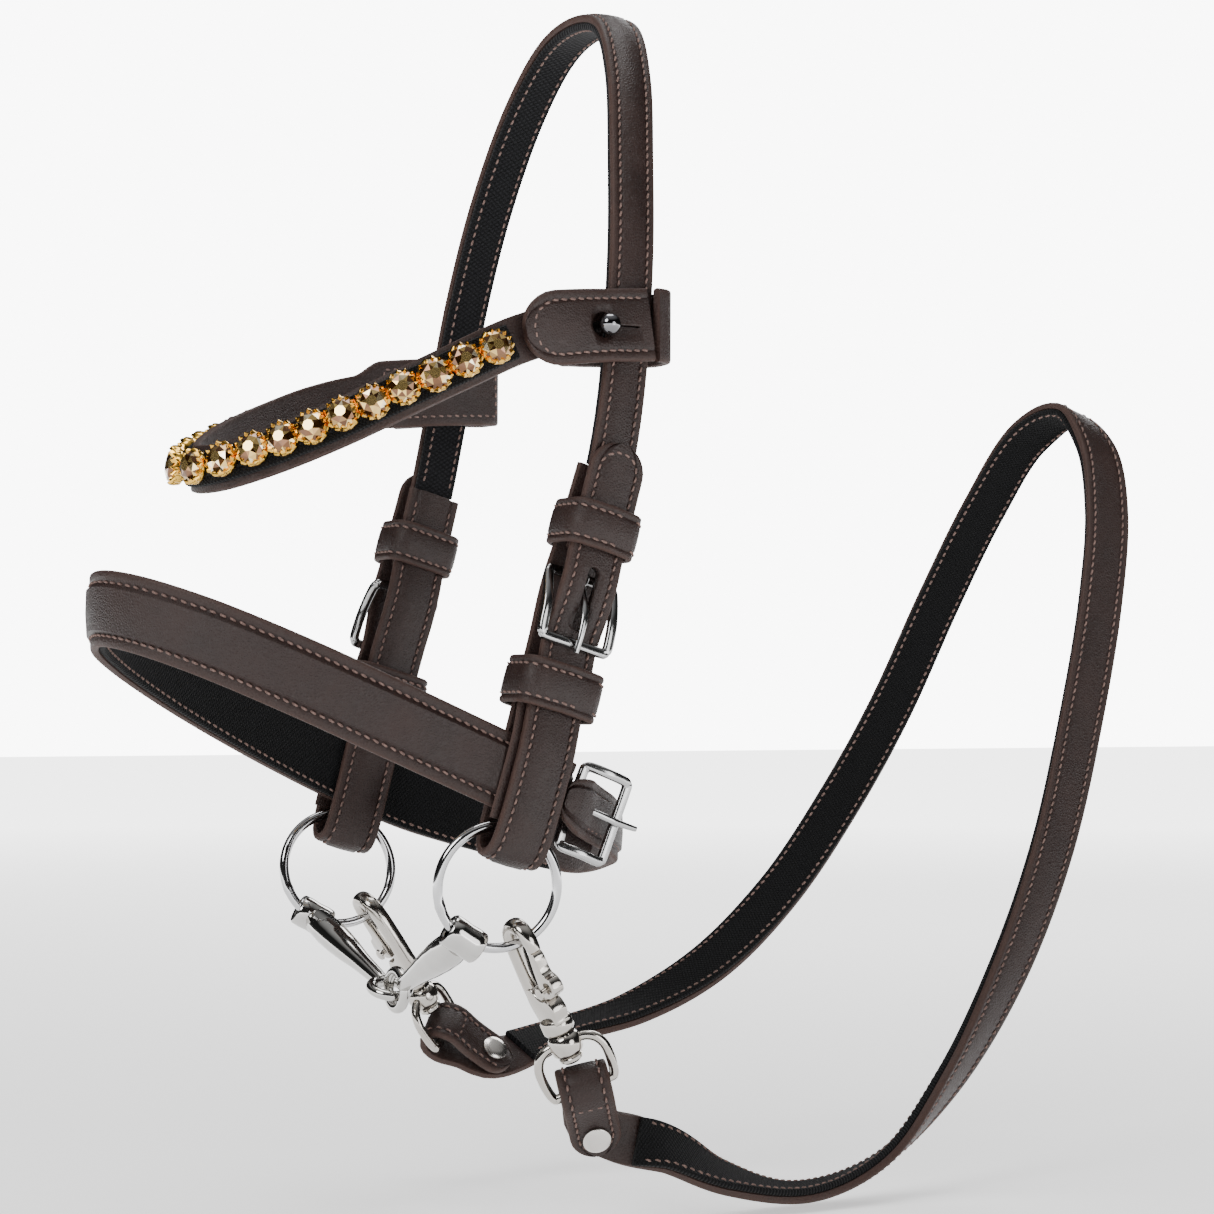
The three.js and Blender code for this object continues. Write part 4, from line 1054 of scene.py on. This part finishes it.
def stone_shape():
    """A cut stone: flat table, two rows of facets, a girdle and a blunt underside, as flat faces."""
    points = [Vector((0.36 * math.cos(a), 0.36 * math.sin(a), 0.66)) for a in
              (math.radians(22.5 + 45 * i) for i in range(8))]
    points += [Vector((0.74 * math.cos(a), 0.74 * math.sin(a), 0.46)) for a in
               (math.radians(45 * i) for i in range(8))]
    points += [Vector((math.cos(a), math.sin(a), 0.0)) for a in (math.radians(22.5 * i) for i in range(16))]
    points.append(Vector((0, 0, -0.5)))
    faces = [tuple(range(8))]
    for i in range(8):
        k = (i + 1) % 8
        faces.append((i, 8 + i, 8 + k))
        faces.append((i, 8 + k, k))
        faces.append((8 + i, 16 + 2 * i, 16 + 2 * i + 1))
        faces.append((8 + i, 16 + 2 * i + 1, 8 + k))
        faces.append((8 + k, 16 + 2 * i + 1, 16 + (2 * i + 2) % 16))
    faces += [(32, 16 + (i + 1) % 16, 16 + i) for i in range(16)]
    return points, faces


def cup_shape():
    """A cup of claws: a scalloped wall that widens upwards, with a claw on every scallop."""
    rows = [(0.62, 0.0, 0.0), (0.95, 0.3, 0.02), (1.0, 0.62, 0.06), (0.99, 0.84, 0.14), (0.88, 0.98, 0.2),
            (0.78, 0.9, 0.12), (0.8, 0.6, 0.0)]
    around, claws = 56, 14
    points, faces = [], []
    for radius, height, scallop in rows:
        for j in range(around):
            a = 2 * math.pi * j / around
            lobe = math.cos(claws * a)
            r = radius * (1 + scallop * (0.5 * lobe - 0.5))
            points.append(Vector((r * math.cos(a), r * math.sin(a), height * (1 + 0.7 * scallop * lobe))))
    for i in range(len(rows) - 1):
        for j in range(around):
            k = (j + 1) % around
            faces.append((i * around + j, i * around + k, (i + 1) * around + k, (i + 1) * around + j))
    faces.append(tuple(reversed(range(around))))
    last = (len(rows) - 1) * around
    faces.append(tuple(last + j for j in range(around)))
    return points, faces


def build_stones():
    route, _ = browband_route()
    start, end = 52, route.length - 73
    low = -LEATHER / 2 - GAP - PAD_THICK
    pad, _ = strap("browband_backing", route, plain_section(low, -LEATHER / 2 + 0.05), 8.2, start, end)
    finish_piece(pad, "felt", replaces=["browband_pad"])
    strip, _ = strap("stone_strip", route, web_section(low - GAP - 0.7, low + 0.05), 4.4, start + 2, end - 2)
    finish_piece(strip, "felt")

    radius, height = 4.15, 3.4
    count = math.floor((end - start - CUP_RADIUS * 2) / STONE_PITCH)
    first = (start + end - count * STONE_PITCH) / 2
    stone, cup = stone_shape(), cup_shape()
    rng = random.Random(11)
    gems, cups = ([], []), ([], [])
    facets = []
    for i in range(count + 1):
        point, _, face, _ = route.at(first + i * STONE_PITCH)
        up = (-face + Vector([rng.uniform(-0.08, 0.08) for _ in range(3)])).normalized()
        spin = rng.uniform(0, math.pi)
        side = Vector((0, 0, 1)).cross(up).normalized()
        fore = up.cross(side)
        x = side * math.cos(spin) + fore * math.sin(spin)
        y = up.cross(x)
        base = point + face * (low - GAP)
        for (points, faces), (made, skins), size, rise in (
                (cup, cups, (radius, height), 0.0),
                (stone, gems, (0.85 * radius, 0.55 * radius), 0.86 * height)):
            begin = len(made)
            made += [base + (x * p.x + y * p.y) * size[0] + up * (p.z * size[1] + rise) for p in points]
            skins += [tuple(begin + k for k in f) for f in faces]
        # Painted reflections: the table facet gets a fixed bright value, and the other facets a random shade
        # from dark to bright.
        facets += [0.78] + [rng.random() for _ in range(len(stone[1]) - 1)]
    holder = new_mesh("claw_cups", cups[0], cups[1], 50)
    finish_piece(holder, "gold", replaces=["stone_chain"])
    jewels = new_mesh("cut_stones", gems[0], gems[1], 0)
    jewels.data.attributes.new("facet_glint", "FLOAT", "FACE").data.foreach_set("value", facets)
    finish_piece(jewels, "stone")


# ---- cheekpieces ----------------------------------------------------------------------------------

def keeper(name, side, span, half_width, seed):
    """A leather loop round the cheekpiece with two rows of stitches."""
    start, end, inner, outer = span
    middle, reach = (inner + outer) / 2, (outer - inner) / 2
    level = (start + end) / 2
    centre = cheek_point(side, middle, level)
    corner = 3.0
    sizes = (reach + KEEPER_THICK / 2, half_width + KEEPER_THICK / 2)
    outline = []
    for turn in range(4):
        for step in range(0, 91, 15):
            a = math.radians(turn * 90 + step)
            sx = 1 if turn in (0, 3) else -1
            sy = 1 if turn in (0, 1) else -1
            outline.append(Vector((sx * (sizes[0] - corner) + corner * math.cos(a),
                                   sy * (sizes[1] - corner) + corner * math.sin(a))))
        ax, ay = outline[-1]
        nx, ny = ((-1, 1), (-1, -1), (1, -1), (1, 1))[turn]
        goal = Vector((nx * (sizes[0] - (corner if turn in (0, 2) else 0)),
                       ny * (sizes[1] - (corner if turn in (1, 3) else 0))))
        for w in (0.25, 0.5, 0.75):
            outline.append(Vector((ax, ay)).lerp(goal, w))
    stops, distance = [], 0.0
    before = outline[0]
    bow = 0.9 * KEEPER_THICK
    for i, here in enumerate(outline):
        ahead, behind = outline[(i + 1) % len(outline)], outline[i - 1]
        tangent = (ahead - behind).normalized()
        distance += (here - before).length
        before = here
        to_space = lambda p: OUT * side * p.x + BACK * p.y
        face = to_space(Vector((tangent.y, -tangent.x)))
        swell = bow * max(0.0, 1 - abs(here.y) / sizes[1]) if here.x > sizes[0] * 0.8 else 0.0
        stops.append((centre + to_space(here) + face * swell, face, distance))
    frames = [(p, f, DOWN, (end - start) / 2, d) for p, f, d in stops]
    section = leather_section(-KEEPER_THICK / 2, KEEPER_THICK / 2, 1.7, 0.25)
    loop = band(f"{name}_loop", frames, section, closed=True)
    line = Route([(p, f) for p, f, _ in stops])
    rows = [[(d, offset) for d in (0.5, line.length - 0.5)] for offset in (-3.4, 3.4)]
    seam = stitching(f"{name}_stitches", [(line, row, KEEPER_THICK / 2 + 0.02) for row in rows], seed)
    finish_piece(loop, "leather", replaces=[name])
    finish_piece(seam, "thread")


def buckle(name, corner, lift, body, nodes, tongue_points, heel, heel_axis):
    """A bent and joined wire frame, and a tongue that is wrapped round its heel bar."""
    half = BUCKLE_HALF_WIDTH
    spots = [(0, -half + 1.4), (0, 0), (0, half - 1.4), (0.03, half - 0.5), (0.12, half), (0.5, half),
             (0.88, half),
             (0.97, half - 0.5), (1, half - 1.4), (1, 0), (1, -half + 1.4), (0.97, -half + 0.5),
             (0.88, -half),
             (0.5, -half), (0.12, -half), (0.03, -half + 0.5)]
    line = [corner(end, back) for end, back in spots]
    frame_piece = rod(f"{name}_wire_frame", line, 1.15, 0.9, lift, True, 128, 16, 1.5)
    finish_piece(frame_piece, "buckle", replaces=[nodes[0]])
    wrap = lathe(f"{name}_wrap",
                 [(1.3, -1.0), (1.5, -1.15), (2.0, -1.1), (2.15, -0.9), (2.15, 0.9), (2.0, 1.1),
                                  (1.5, 1.15), (1.3, 1.0)], heel_axis, heel, closed=True, steps=28)
    prong = rod(f"{name}_prong", tongue_points, [0.7, 0.8, 0.85, 0.78, 0.62], [0.55, 0.65, 0.7, 0.68, 0.6],
                lift,
                False, 30, 12, 1.2)
    finish_piece(merge(f"{name}_wire_tongue", [wrap, prong]), "buckle", body, [nodes[1]])


def build_cheekpiece(name, side):
    route = cheek_route(side)
    end = route.length
    leather, _ = strap(f"{name}_cheek_leather", route, leather_section(-1, 1), CHEEK_WIDTH, step=1.4,
                       round_end=6.5)
    slot = casting("tongue_slot",
                   [(-7, -1.2), (-6.2, -1.6), (6.2, -1.6), (7, -1.2), (7.4, 0), (7, 1.2), (6.2, 1.6),
                                   (-6.2, 1.6), (-7, 1.2), (-7.4, 0)], 8.4, 0.01,
                   (DOWN, BACK, DOWN.cross(BACK), cheek_point(side, 46, 30.5)))
    carve(leather, slot)
    finish_piece(leather, "leather", replaces=[f"{name}_cheek_strap"])
    seam = tip_line(3, end - 0.2, CHEEK_WIDTH / 2, 6.5)

    def level(offset):
        """The strap's middle is raised, so the line that crosses it is too."""
        return 1.0 + 0.58 * min(max((4.7 - abs(offset)) / 1.2, 0.0), 1.0)
    finish_piece(stitching(f"{name}_cheek_stitches", [(route, seam, level)]), "thread")

    carrier = Route([(cheek_point(side, out, down), OUT * side)
                     for out, down in ((44.4, 47), (44.9, 56), (46.4, 64), (46.5, 83))])
    layer, _ = strap(f"{name}_carrier_leather", carrier, plain_section(-CARRIER / 2, CARRIER / 2),
                     CHEEK_WIDTH - 0.6, step=2.5, shift=side * 1.8)
    finish_piece(layer, "leather", replaces=[f"{name}_noseband_carrier"])
    keeper(f"{name}_upper_keeper", side, UPPER_KEEPER, CHEEK_WIDTH / 2 + 0.4, 5)
    keeper(f"{name}_lower_keeper", side, LOWER_KEEPER, CHEEK_WIDTH / 2 + 1.6, 6)

    rise, run = BUCKLE_FREE[0] - BUCKLE_BAR[0], BUCKLE_FREE[1] - BUCKLE_BAR[1]

    def corner(at, back):
        return cheek_point(side, BUCKLE_BAR[0] + rise * at + 1.4 * math.sin(math.pi * at),
                           BUCKLE_BAR[1] + run * at, back)
    heel = cheek_point(side, *BUCKLE_BAR)
    line = [cheek_point(side, BUCKLE_BAR[0] + 1.2, BUCKLE_BAR[1] + 1.3), cheek_point(side, 44.8, 28.4),
            cheek_point(side, 48.6, 34), cheek_point(side, 49.5, 38.5), cheek_point(side, 49.4, 43)]
    lift = (OUT * side * run - DOWN * rise).normalized()
    buckle(f"{name}_buckle", corner, lift, f"{name}_tongue",
           (f"{name}_buckle_frame", f"{name}_buckle_tongue"),
           line, heel, BACK)


# ---- noseband -------------------------------------------------------------------------------------

def build_noseband():
    route = Route(NOSEBAND_STOPS + NOSE_BILLET_STOPS)
    end = route.length
    low = LINING + GAP

    def width(distance):
        narrow = ease(distance, end - 66, end - 40)
        return NOSEBAND_WIDTH + (NOSE_BILLET_WIDTH - NOSEBAND_WIDTH) * narrow
    leather, half = strap("noseband_leather", route, leather_section(low, low + LEATHER, 2.6, 1.0), width,
                          step=1.5, round_end=5.5)
    finish_piece(leather, "leather", replaces=["noseband_strap"])
    lining, web_half = strap("noseband_web", route, web_section(0, low + 0.05), NOSEBAND_WIDTH - 0.8, 2,
                             end - 64,
                             step=1.6)
    finish_piece(lining, "felt", replaces=["noseband_lining"])
    runs = [(route, path, low + LEATHER + 0.02) for path in edge_lines(4, end - 8, half, 2.6)]
    runs += [(route, path, -0.03) for path in edge_lines(5, end - 66, web_half, 1.4)]
    finish_piece(stitching("noseband_stitches", runs), "thread")

    guard = Route(GUARD_STOPS)
    piece, _ = strap("buckle_guard", guard, plain_section(-0.8, 0.8), NOSEBAND_WIDTH, step=1.2,
                     round_end=NOSEBAND_WIDTH / 2)
    finish_piece(piece, "leather", replaces=["noseband_guard"])
    bar, free = Vector(NOSE_BAR), Vector(NOSE_FREE)
    line = Vector((0, free.y - bar.y, free.z - bar.z)).normalized()
    across = Vector((0, line.z, -line.y))

    def corner(at, back):
        return bar.lerp(free, at) + OUT * 1.2 * math.sin(math.pi * at) + across * back * 1.12
    tongue = [bar + Vector((1, 1.3, -0.5)), bar.lerp(free, 0.32) + Vector((2.6, 0, 0)),
              free + Vector((2.2, -1.4, 0.5)), free + Vector((1.9, 1.6, -0.5)),
              free + Vector((1.7, 4.6, -1.4))]
    buckle("noseband_buckle", corner, OUT, "nose_tongue", ("noseband_buckle_frame", "noseband_buckle_tongue"),
           tongue, bar, across)


# ---- rings, bit and snaps -------------------------------------------------------------------------

def build_ring_and_bit(name, side):
    ring = RingFrame(side)
    loop = hoop(f"{name}_loose_ring", ring.centre, ring.axis, RING_LINE, RING_WIRE)
    finish_piece(loop, "ring", f"{name}_ring_body", [f"{name}_ring"])

    root = ring.spot(BIT_ANGLE)
    joint = BIT_JOINT + OUT * side * BIT_EYE_OFFSET
    along = (joint - root).normalized()
    reach = (joint - root).length
    tangent = ring.back * math.cos(BIT_ANGLE) - ring.down * math.sin(BIT_ANGLE)
    barrel = lathe(f"{name}_barrel",
                   [(2.0, -3.9), (2.5, -4.3), (3.4, -4.3), (3.75, -3.9), (3.85, -2), (3.7, 0),
                                      (3.85, 2), (3.75, 3.9), (3.4, 4.3), (2.5, 4.3), (2.0, 3.9), (1.9, 0)],
                   tangent, root, closed=True, steps=48)
    marks = [2.8, 5, 9, 14, 20, 27, reach - 5.2, reach - 3.6]
    line = [root + along * d for d in marks]
    arm = rod(f"{name}_taper", line, [3.3, 3.6, 4.0, 3.9, 3.4, 2.6, 1.9, 1.5],
              [3.2, 3.4, 3.6, 3.5, 3.1, 2.4, 1.8, 1.4],
              along.cross(tangent), False, 48, 24)
    level = along.cross(Vector((0, 1, 0))).normalized()
    eye = hoop(f"{name}_joint_eye", joint, Vector((0, 1, 0)) if side > 0 else level, BIT_EYE_LINE, 1.25, 48,
               14)
    finish_piece(merge(f"{name}_bit_bar", [barrel, arm, eye]), "bit", f"{name}_arm_body",
                 [f"{name}_bit_arm"])


HOOK_BODY = [(-5.4, 14.6), (-4.4, 11.6), (-2.4, 11.4), (-1.2, 12.8), (0.6, 13.9), (3.1, 13.9), (4.5, 16.4),
             (3.9, 18.6), (3.2, 20.2), (-3.2, 20.2), (-4.6, 18.0)]
HOOK_LINE = [(-1.6, 19), (-3.8, 15), (-4.4, 10.5), (-4.45, 5.5), (-4.1, 0.8), (-2.9, -2.4), (0.1, -4.05),
             (2.8, -3.1), (4.25, -0.8), (4.55, 1.9)]
HOOK_FLAT = [2.4, 2.3, 2.0, 1.8, 1.75, 1.75, 1.75, 1.65, 1.5, 1.25]
HOOK_THICK = [2.0, 2.0, 2.0, 2.0, 2.0, 2.0, 2.0, 1.9, 1.75, 1.5]


def build_snap(name, side):
    snap = SnapFrame(name, side)
    plate = (snap.out, snap.down, snap.third, snap.grip)
    hook = rod(f"{name}_hook_bar", [snap.spot(d, a) for a, d in HOOK_LINE], HOOK_FLAT, HOOK_THICK, snap.flat,
               False, 80, 18, 1.15)
    body = casting(f"{name}_hook_body", HOOK_BODY, 4.0, 0.9, plate, 66)
    stem = lathe(f"{name}_stem", [(0, 19), (3.3, 19.1), (3.7, 19.6), (3.7, 21.9), (3.3, 22.5), (2.0, 22.9),
                                  (1.5, 23.1), (1.5, 28.4), (2.5, 28.4), (2.8, 28.8), (2.7, 29.5),
                                  (1.9, 30.1),
                                  (0, 30.3)], snap.down, snap.grip)
    finish_piece(merge(f"{name}_swivel_hook", [hook, body, stem]), "snap", f"{name}_hook_body",
                 [f"{name}_snap_hook"])
    gate = casting(f"{name}_gate", GATE_OUTLINE, 2.6, 0.45, plate, 60)
    finish_piece(gate, "snap", f"{name}_gate_body", [f"{name}_snap_gate"])
    pin = lathe(f"{name}_trigger_pin",
                [(0, -3.2), (0.9, -3.15), (1.4, -2.8), (1.5, -2.35), (0.62, -2.3), (0.62, 2.3),
                                        (1.5, 2.35), (1.4, 2.8), (0.9, 3.15), (0, 3.2)],
                snap.flat, snap.spot(GATE_PIN[1], GATE_PIN[0]), steps=24)
    finish_piece(pin, "snap", f"{name}_hook_body", [f"{name}_gate_pin"])

    collar = lathe(f"{name}_collar",
                   [(1.8, 23.5), (3.1, 23.4), (3.6, 23.9), (3.9, 25.6), (3.6, 27.4), (3.1, 28),
                                      (1.8, 27.9)], snap.down, snap.grip, closed=True)
    half = EYE_HALF_WIDTH
    legs = [(25.4, 2.4), (25.6, 4.6), (26.9, half - 1.4), (29.2, half - 0.2), (32, half), (35, half - 0.3),
            (36.7, half - 0.9), (SNAP_TO_BAR, half - 2), (SNAP_TO_BAR, 0)]
    line = [snap.eye_spot(d, -a) for d, a in legs] + [snap.eye_spot(d, a) for d, a in reversed(legs[:-1])]
    bow = rod(f"{name}_bow", line, 1.1, 1.1, snap.plane, False, 110, 16)
    finish_piece(merge(f"{name}_dee_eye", [collar, bow]), "snap", f"{name}_eye_body",
                 [f"{name}_snap_eye"])
    return snap


# ---- rein -----------------------------------------------------------------------------------------

def rein_end(snap, first, face):
    """How a rein end lies: the middle of the eye's bar, the way the strap leaves, and its leather side."""
    axis = Matrix.Rotation(REIN_FOLD_SKEW, 3, snap.plane) @ snap.bar_line
    away = first - snap.bar_spot
    away = (away - axis * away.dot(axis)).normalized()
    look = away.cross(axis).normalized()
    return snap.bar_spot, away, (-look if look.dot(face) < 0 else look)


def rein_fold(spot, away, look):
    r = REIN_FOLD_RADIUS
    rows = [(18, -1.3, 0, -1), (13, -1.4, 0, -1), (6, -2.7, 0.2, -1), (0.6, -r, 0, -1),
            (-0.72 * r, -0.72 * r, -0.7, -0.7), (-r, 0, -1, 0), (-0.72 * r, 0.72 * r, -0.7, 0.7),
            (0.6, r, 0, 1), (6, 2.7, 0.2, 1), (12, 1.5, 0, 1)]
    return [(spot + away * f + look * h, away * turn + look * lift) for f, h, turn, lift in rows]


def build_rein(near, far):
    middle = [(Vector(p), Vector(f)) for p, f in REIN_STOPS]
    ends = [rein_end(near, *middle[0]), rein_end(far, *middle[-1])]
    raised = [(p + f * 1.3, f) for p, f in middle]
    route = Route(rein_fold(*ends[0]) + raised + list(reversed(rein_fold(*ends[1]))))
    end = route.length
    leather, _ = strap("rein_outer_leather", route, leather_section(-1, 1, 2.0, 0.15), REIN_WIDTH,
                          step=1.6, round_start=5.5, round_end=5.5)
    finish_piece(leather, "leather", replaces=["rein_leather"])
    bare = 12 * end / round(end / 4.6)
    under = -LEATHER / 2
    lining, web_half = strap("rein_web", route, web_section(under - GAP - LINING, under + 0.05),
                             REIN_WIDTH - 0.6,
                             bare, end - bare, step=1.6)
    finish_piece(lining, "felt", replaces=["rein_lining"])
    inset = REIN_WIDTH / 2 - 2.0
    arc = [(5.5 - 3.5 * math.sin(math.radians(a)), inset * math.cos(math.radians(a))) for a in range(0, 181,
                                                                                                     20)]
    loop = [(end - 3, inset)] + arc + [(end - 3, -inset)]
    cross = [[(d, -inset + 0.6), (d, inset - 0.6)] for d in (16, end - 16)]
    runs = [(route, path, 1.0) for path in [loop] + cross]
    runs += [(route, path, under - GAP - LINING - 0.03) for path in edge_lines(bare + 2, end - bare - 2,
                                                                               web_half, 1.2)]
    finish_piece(stitching("rein_stitches", runs), "thread")
    profile = [(0, -4.35), (1.6, -4.3), (2.7, -4.1), (3.2, -3.75), (3.25, -3.4), (1.35, -3.4), (1.35, 3.4),
               (3.25, 3.4),
               (3.2, 3.75), (2.7, 4.1), (1.6, 4.3), (0, 4.35)]
    for (name, _), (spot, away, look) in zip(SIDES, ends):
        rivet = lathe(f"{name}_rivet", profile, look, spot + away * RIVET_AWAY)
        finish_piece(rivet, "rivet", replaces=[f"{name}_rein_rivet"])


# ---- stage ----------------------------------------------------------------------------------------

def area_light(name, place, target, size, power):
    light = bpy.data.lights.new(name, "AREA")
    light.shape = "DISK"
    light.size = size
    light.energy = power
    lamp = bpy.data.objects.new(name, light)
    bpy.context.collection.objects.link(lamp)
    lamp.location = place
    lamp.rotation_euler = (target - place).to_track_quat("-Z", "Y").to_euler()


def build_stage():
    p = props()
    floor_z = CAD_BOX[0][2] - 0.002
    bpy.ops.object.select_all(action="DESELECT")
    bpy.ops.mesh.primitive_plane_add(size=12)
    floor = bpy.context.object
    floor.name = "pale_floor"
    settle(floor, Matrix.Translation((0, 0, floor_z)))
    floor.data.materials.append(material("ground"))

    target = Vector((0, 0.005, -0.14))
    turn, rise = math.radians(60), math.radians(-2)
    back = Vector((math.sin(turn) * math.cos(rise), -math.cos(turn) * math.cos(rise), math.sin(rise)))
    lens = bpy.data.cameras.new("studio_camera")
    lens.lens = 85.1
    lens.sensor_width = 36
    lens.clip_start = 0.01
    camera = bpy.data.objects.new("studio_camera", lens)
    bpy.context.collection.objects.link(camera)
    camera.location = target + back * p.camera_distance
    camera.rotation_euler = back.to_track_quat("Z", "Y").to_euler()
    bpy.context.scene.camera = camera

    right = Vector((math.cos(turn), math.sin(turn), 0))
    area_light("key_light", target + back * 0.7 + right * -0.55 + UP * 0.6, target, 0.55, p.light_power)
    area_light("fill_light", target + back * 0.8 + right * 0.75 + UP * 0.15, target, 0.6,
               p.light_power * 0.55)
    area_light("top_light", target + UP * 0.9 - back * 0.15, target, 0.6, p.light_power * 0.7)
    area_light("back_light", target - back * 0.8 + UP * 0.5 + right * 0.3, target, 0.5, p.light_power * 0.6)
    world = bpy.data.worlds.new("studio_world")
    world.use_nodes = True
    n = Nodes(world.node_tree)
    sky = world.node_tree.nodes["Background"]
    place = n.add("ShaderNodeTexCoord").outputs["Generated"]
    height = n.add("ShaderNodeSeparateXYZ", {"Vector": place}).outputs["Z"]
    bands = n.ramp(n.range(height, 0.0, 1.0),
                   [(0.0, (0.35, 0.35, 0.35)), (0.12, (0.05, 0.05, 0.05)), (0.55, (0.04, 0.04, 0.04)),
                    (0.9, (1, 1, 1))])
    seen = n.add("ShaderNodeLightPath").outputs["Is Camera Ray"]
    n.feed(n.mix(seen, bands, (1, 1, 1)), sky.inputs["Color"])
    n.feed(n.range(seen, p.world_strength, 9.0), sky.inputs["Strength"])
    bpy.context.scene.world = world

# ---- the add-on -----------------------------------------------------------------------------------

class BridleSettings(bpy.types.PropertyGroup):
    """What a user can change before building."""

    leather_color: bpy.props.FloatVectorProperty(
        name="Leather", description="Base colour of the leather", subtype="COLOR", size=3, min=0, max=1,
        default=(0.024, 0.0112, 0.0088))
    edge_color: bpy.props.FloatVectorProperty(
        name="Cut edge", description="Colour of the burnished leather edges", subtype="COLOR", size=3, min=0,
        max=1, default=(0.05, 0.0245, 0.018))
    thread_color: bpy.props.FloatVectorProperty(
        name="Thread", description="Colour of the stitching", subtype="COLOR", size=3, min=0, max=1,
        default=(0.2, 0.125, 0.105))
    ground_color: bpy.props.FloatVectorProperty(
        name="Ground", description="Colour of the floor", subtype="COLOR", size=3, min=0, max=1,
        default=(0.9, 0.9, 0.9))
    stitch_pitch: bpy.props.FloatProperty(
        name="Stitch pitch", description="Distance from one stitch to the next", subtype="DISTANCE",
        unit="LENGTH", min=0.0015, max=0.006, precision=4, default=0.0021)
    camera_distance: bpy.props.FloatProperty(
        name="Camera distance", description="From the camera to the middle of the bridle",
        subtype="DISTANCE", unit="LENGTH", min=0.3, max=3.0, default=0.7)
    light_power: bpy.props.FloatProperty(
        name="Key light", description="Power of the key light", unit="POWER", min=0, max=200, default=6.0)
    world_strength: bpy.props.FloatProperty(
        name="Surroundings", description="Brightness of the plain surroundings", min=0, max=4, default=0.5)


class BridlePiece:
    """Shared by the operators: each one builds a piece, and an error stops it."""

    bl_options = {"REGISTER", "UNDO"}

    def execute(self, context):
        self.build()
        return {"FINISHED"}


class BRIDLE_OT_crown(BridlePiece, bpy.types.Operator):
    """Build the crownpiece with its webbing and stitches"""

    bl_idname = "bridle.crown"
    bl_label = "Crownpiece"

    def build(self):
        build_crown()


class BRIDLE_OT_browband(BridlePiece, bpy.types.Operator):
    """Build the browband, its stud and the flap that closes on it"""

    bl_idname = "bridle.browband"
    bl_label = "Browband and stud"

    def build(self):
        build_browband()


class BRIDLE_OT_stones(BridlePiece, bpy.types.Operator):
    """Build the row of stones in their claw cups"""

    bl_idname = "bridle.stones"
    bl_label = "Stone row"

    def build(self):
        build_stones()


class BRIDLE_OT_cheekpieces(BridlePiece, bpy.types.Operator):
    """Build both cheekpieces with their buckles and keepers"""

    bl_idname = "bridle.cheekpieces"
    bl_label = "Cheekpieces"

    def build(self):
        for name, side in SIDES:
            build_cheekpiece(name, side)


class BRIDLE_OT_noseband(BridlePiece, bpy.types.Operator):
    """Build the noseband, its lining, guard and buckle"""

    bl_idname = "bridle.noseband"
    bl_label = "Noseband"

    def build(self):
        build_noseband()


class BRIDLE_OT_bit(BridlePiece, bpy.types.Operator):
    """Build the two loose rings and the jointed mouthpiece"""

    bl_idname = "bridle.bit"
    bl_label = "Jointed bit"

    def build(self):
        for name, side in SIDES:
            build_ring_and_bit(name, side)


class BRIDLE_OT_rein(BridlePiece, bpy.types.Operator):
    """Build both swivel snaps and the rein that runs between them"""

    bl_idname = "bridle.rein"
    bl_label = "Snaps and rein"

    def build(self):
        build_rein(*[build_snap(name, side) for name, side in SIDES])


class BRIDLE_OT_stage(BridlePiece, bpy.types.Operator):
    """Set up the camera, lights and floor"""

    bl_idname = "bridle.stage"
    bl_label = "Stage"

    def build(self):
        build_stage()


PIECES = (BRIDLE_OT_crown, BRIDLE_OT_browband, BRIDLE_OT_stones, BRIDLE_OT_cheekpieces,
          BRIDLE_OT_noseband, BRIDLE_OT_bit, BRIDLE_OT_rein, BRIDLE_OT_stage)


class BRIDLE_PT_panel(bpy.types.Panel):
    bl_label = "Bridle"
    bl_idname = "BRIDLE_PT_panel"
    bl_space_type = "VIEW_3D"
    bl_region_type = "UI"
    bl_category = "Bridle"

    def draw(self, context):
        column = self.layout.column()
        for name in BridleSettings.__annotations__:
            column.prop(context.scene.bridle, name)
        for piece in PIECES:
            column.operator(piece.bl_idname)


CLASSES = (BridleSettings, *PIECES, BRIDLE_PT_panel)


def register():
    for cls in CLASSES:
        bpy.utils.register_class(cls)
    bpy.types.Scene.bridle = bpy.props.PointerProperty(type=BridleSettings)


def unregister():
    del bpy.types.Scene.bridle
    for cls in reversed(CLASSES):
        bpy.utils.unregister_class(cls)


def main():
    register()
    for piece in PIECES:
        group, call = piece.bl_idname.split(".")
        getattr(getattr(bpy.ops, group), call)()


if __name__ == "__main__":
    main()
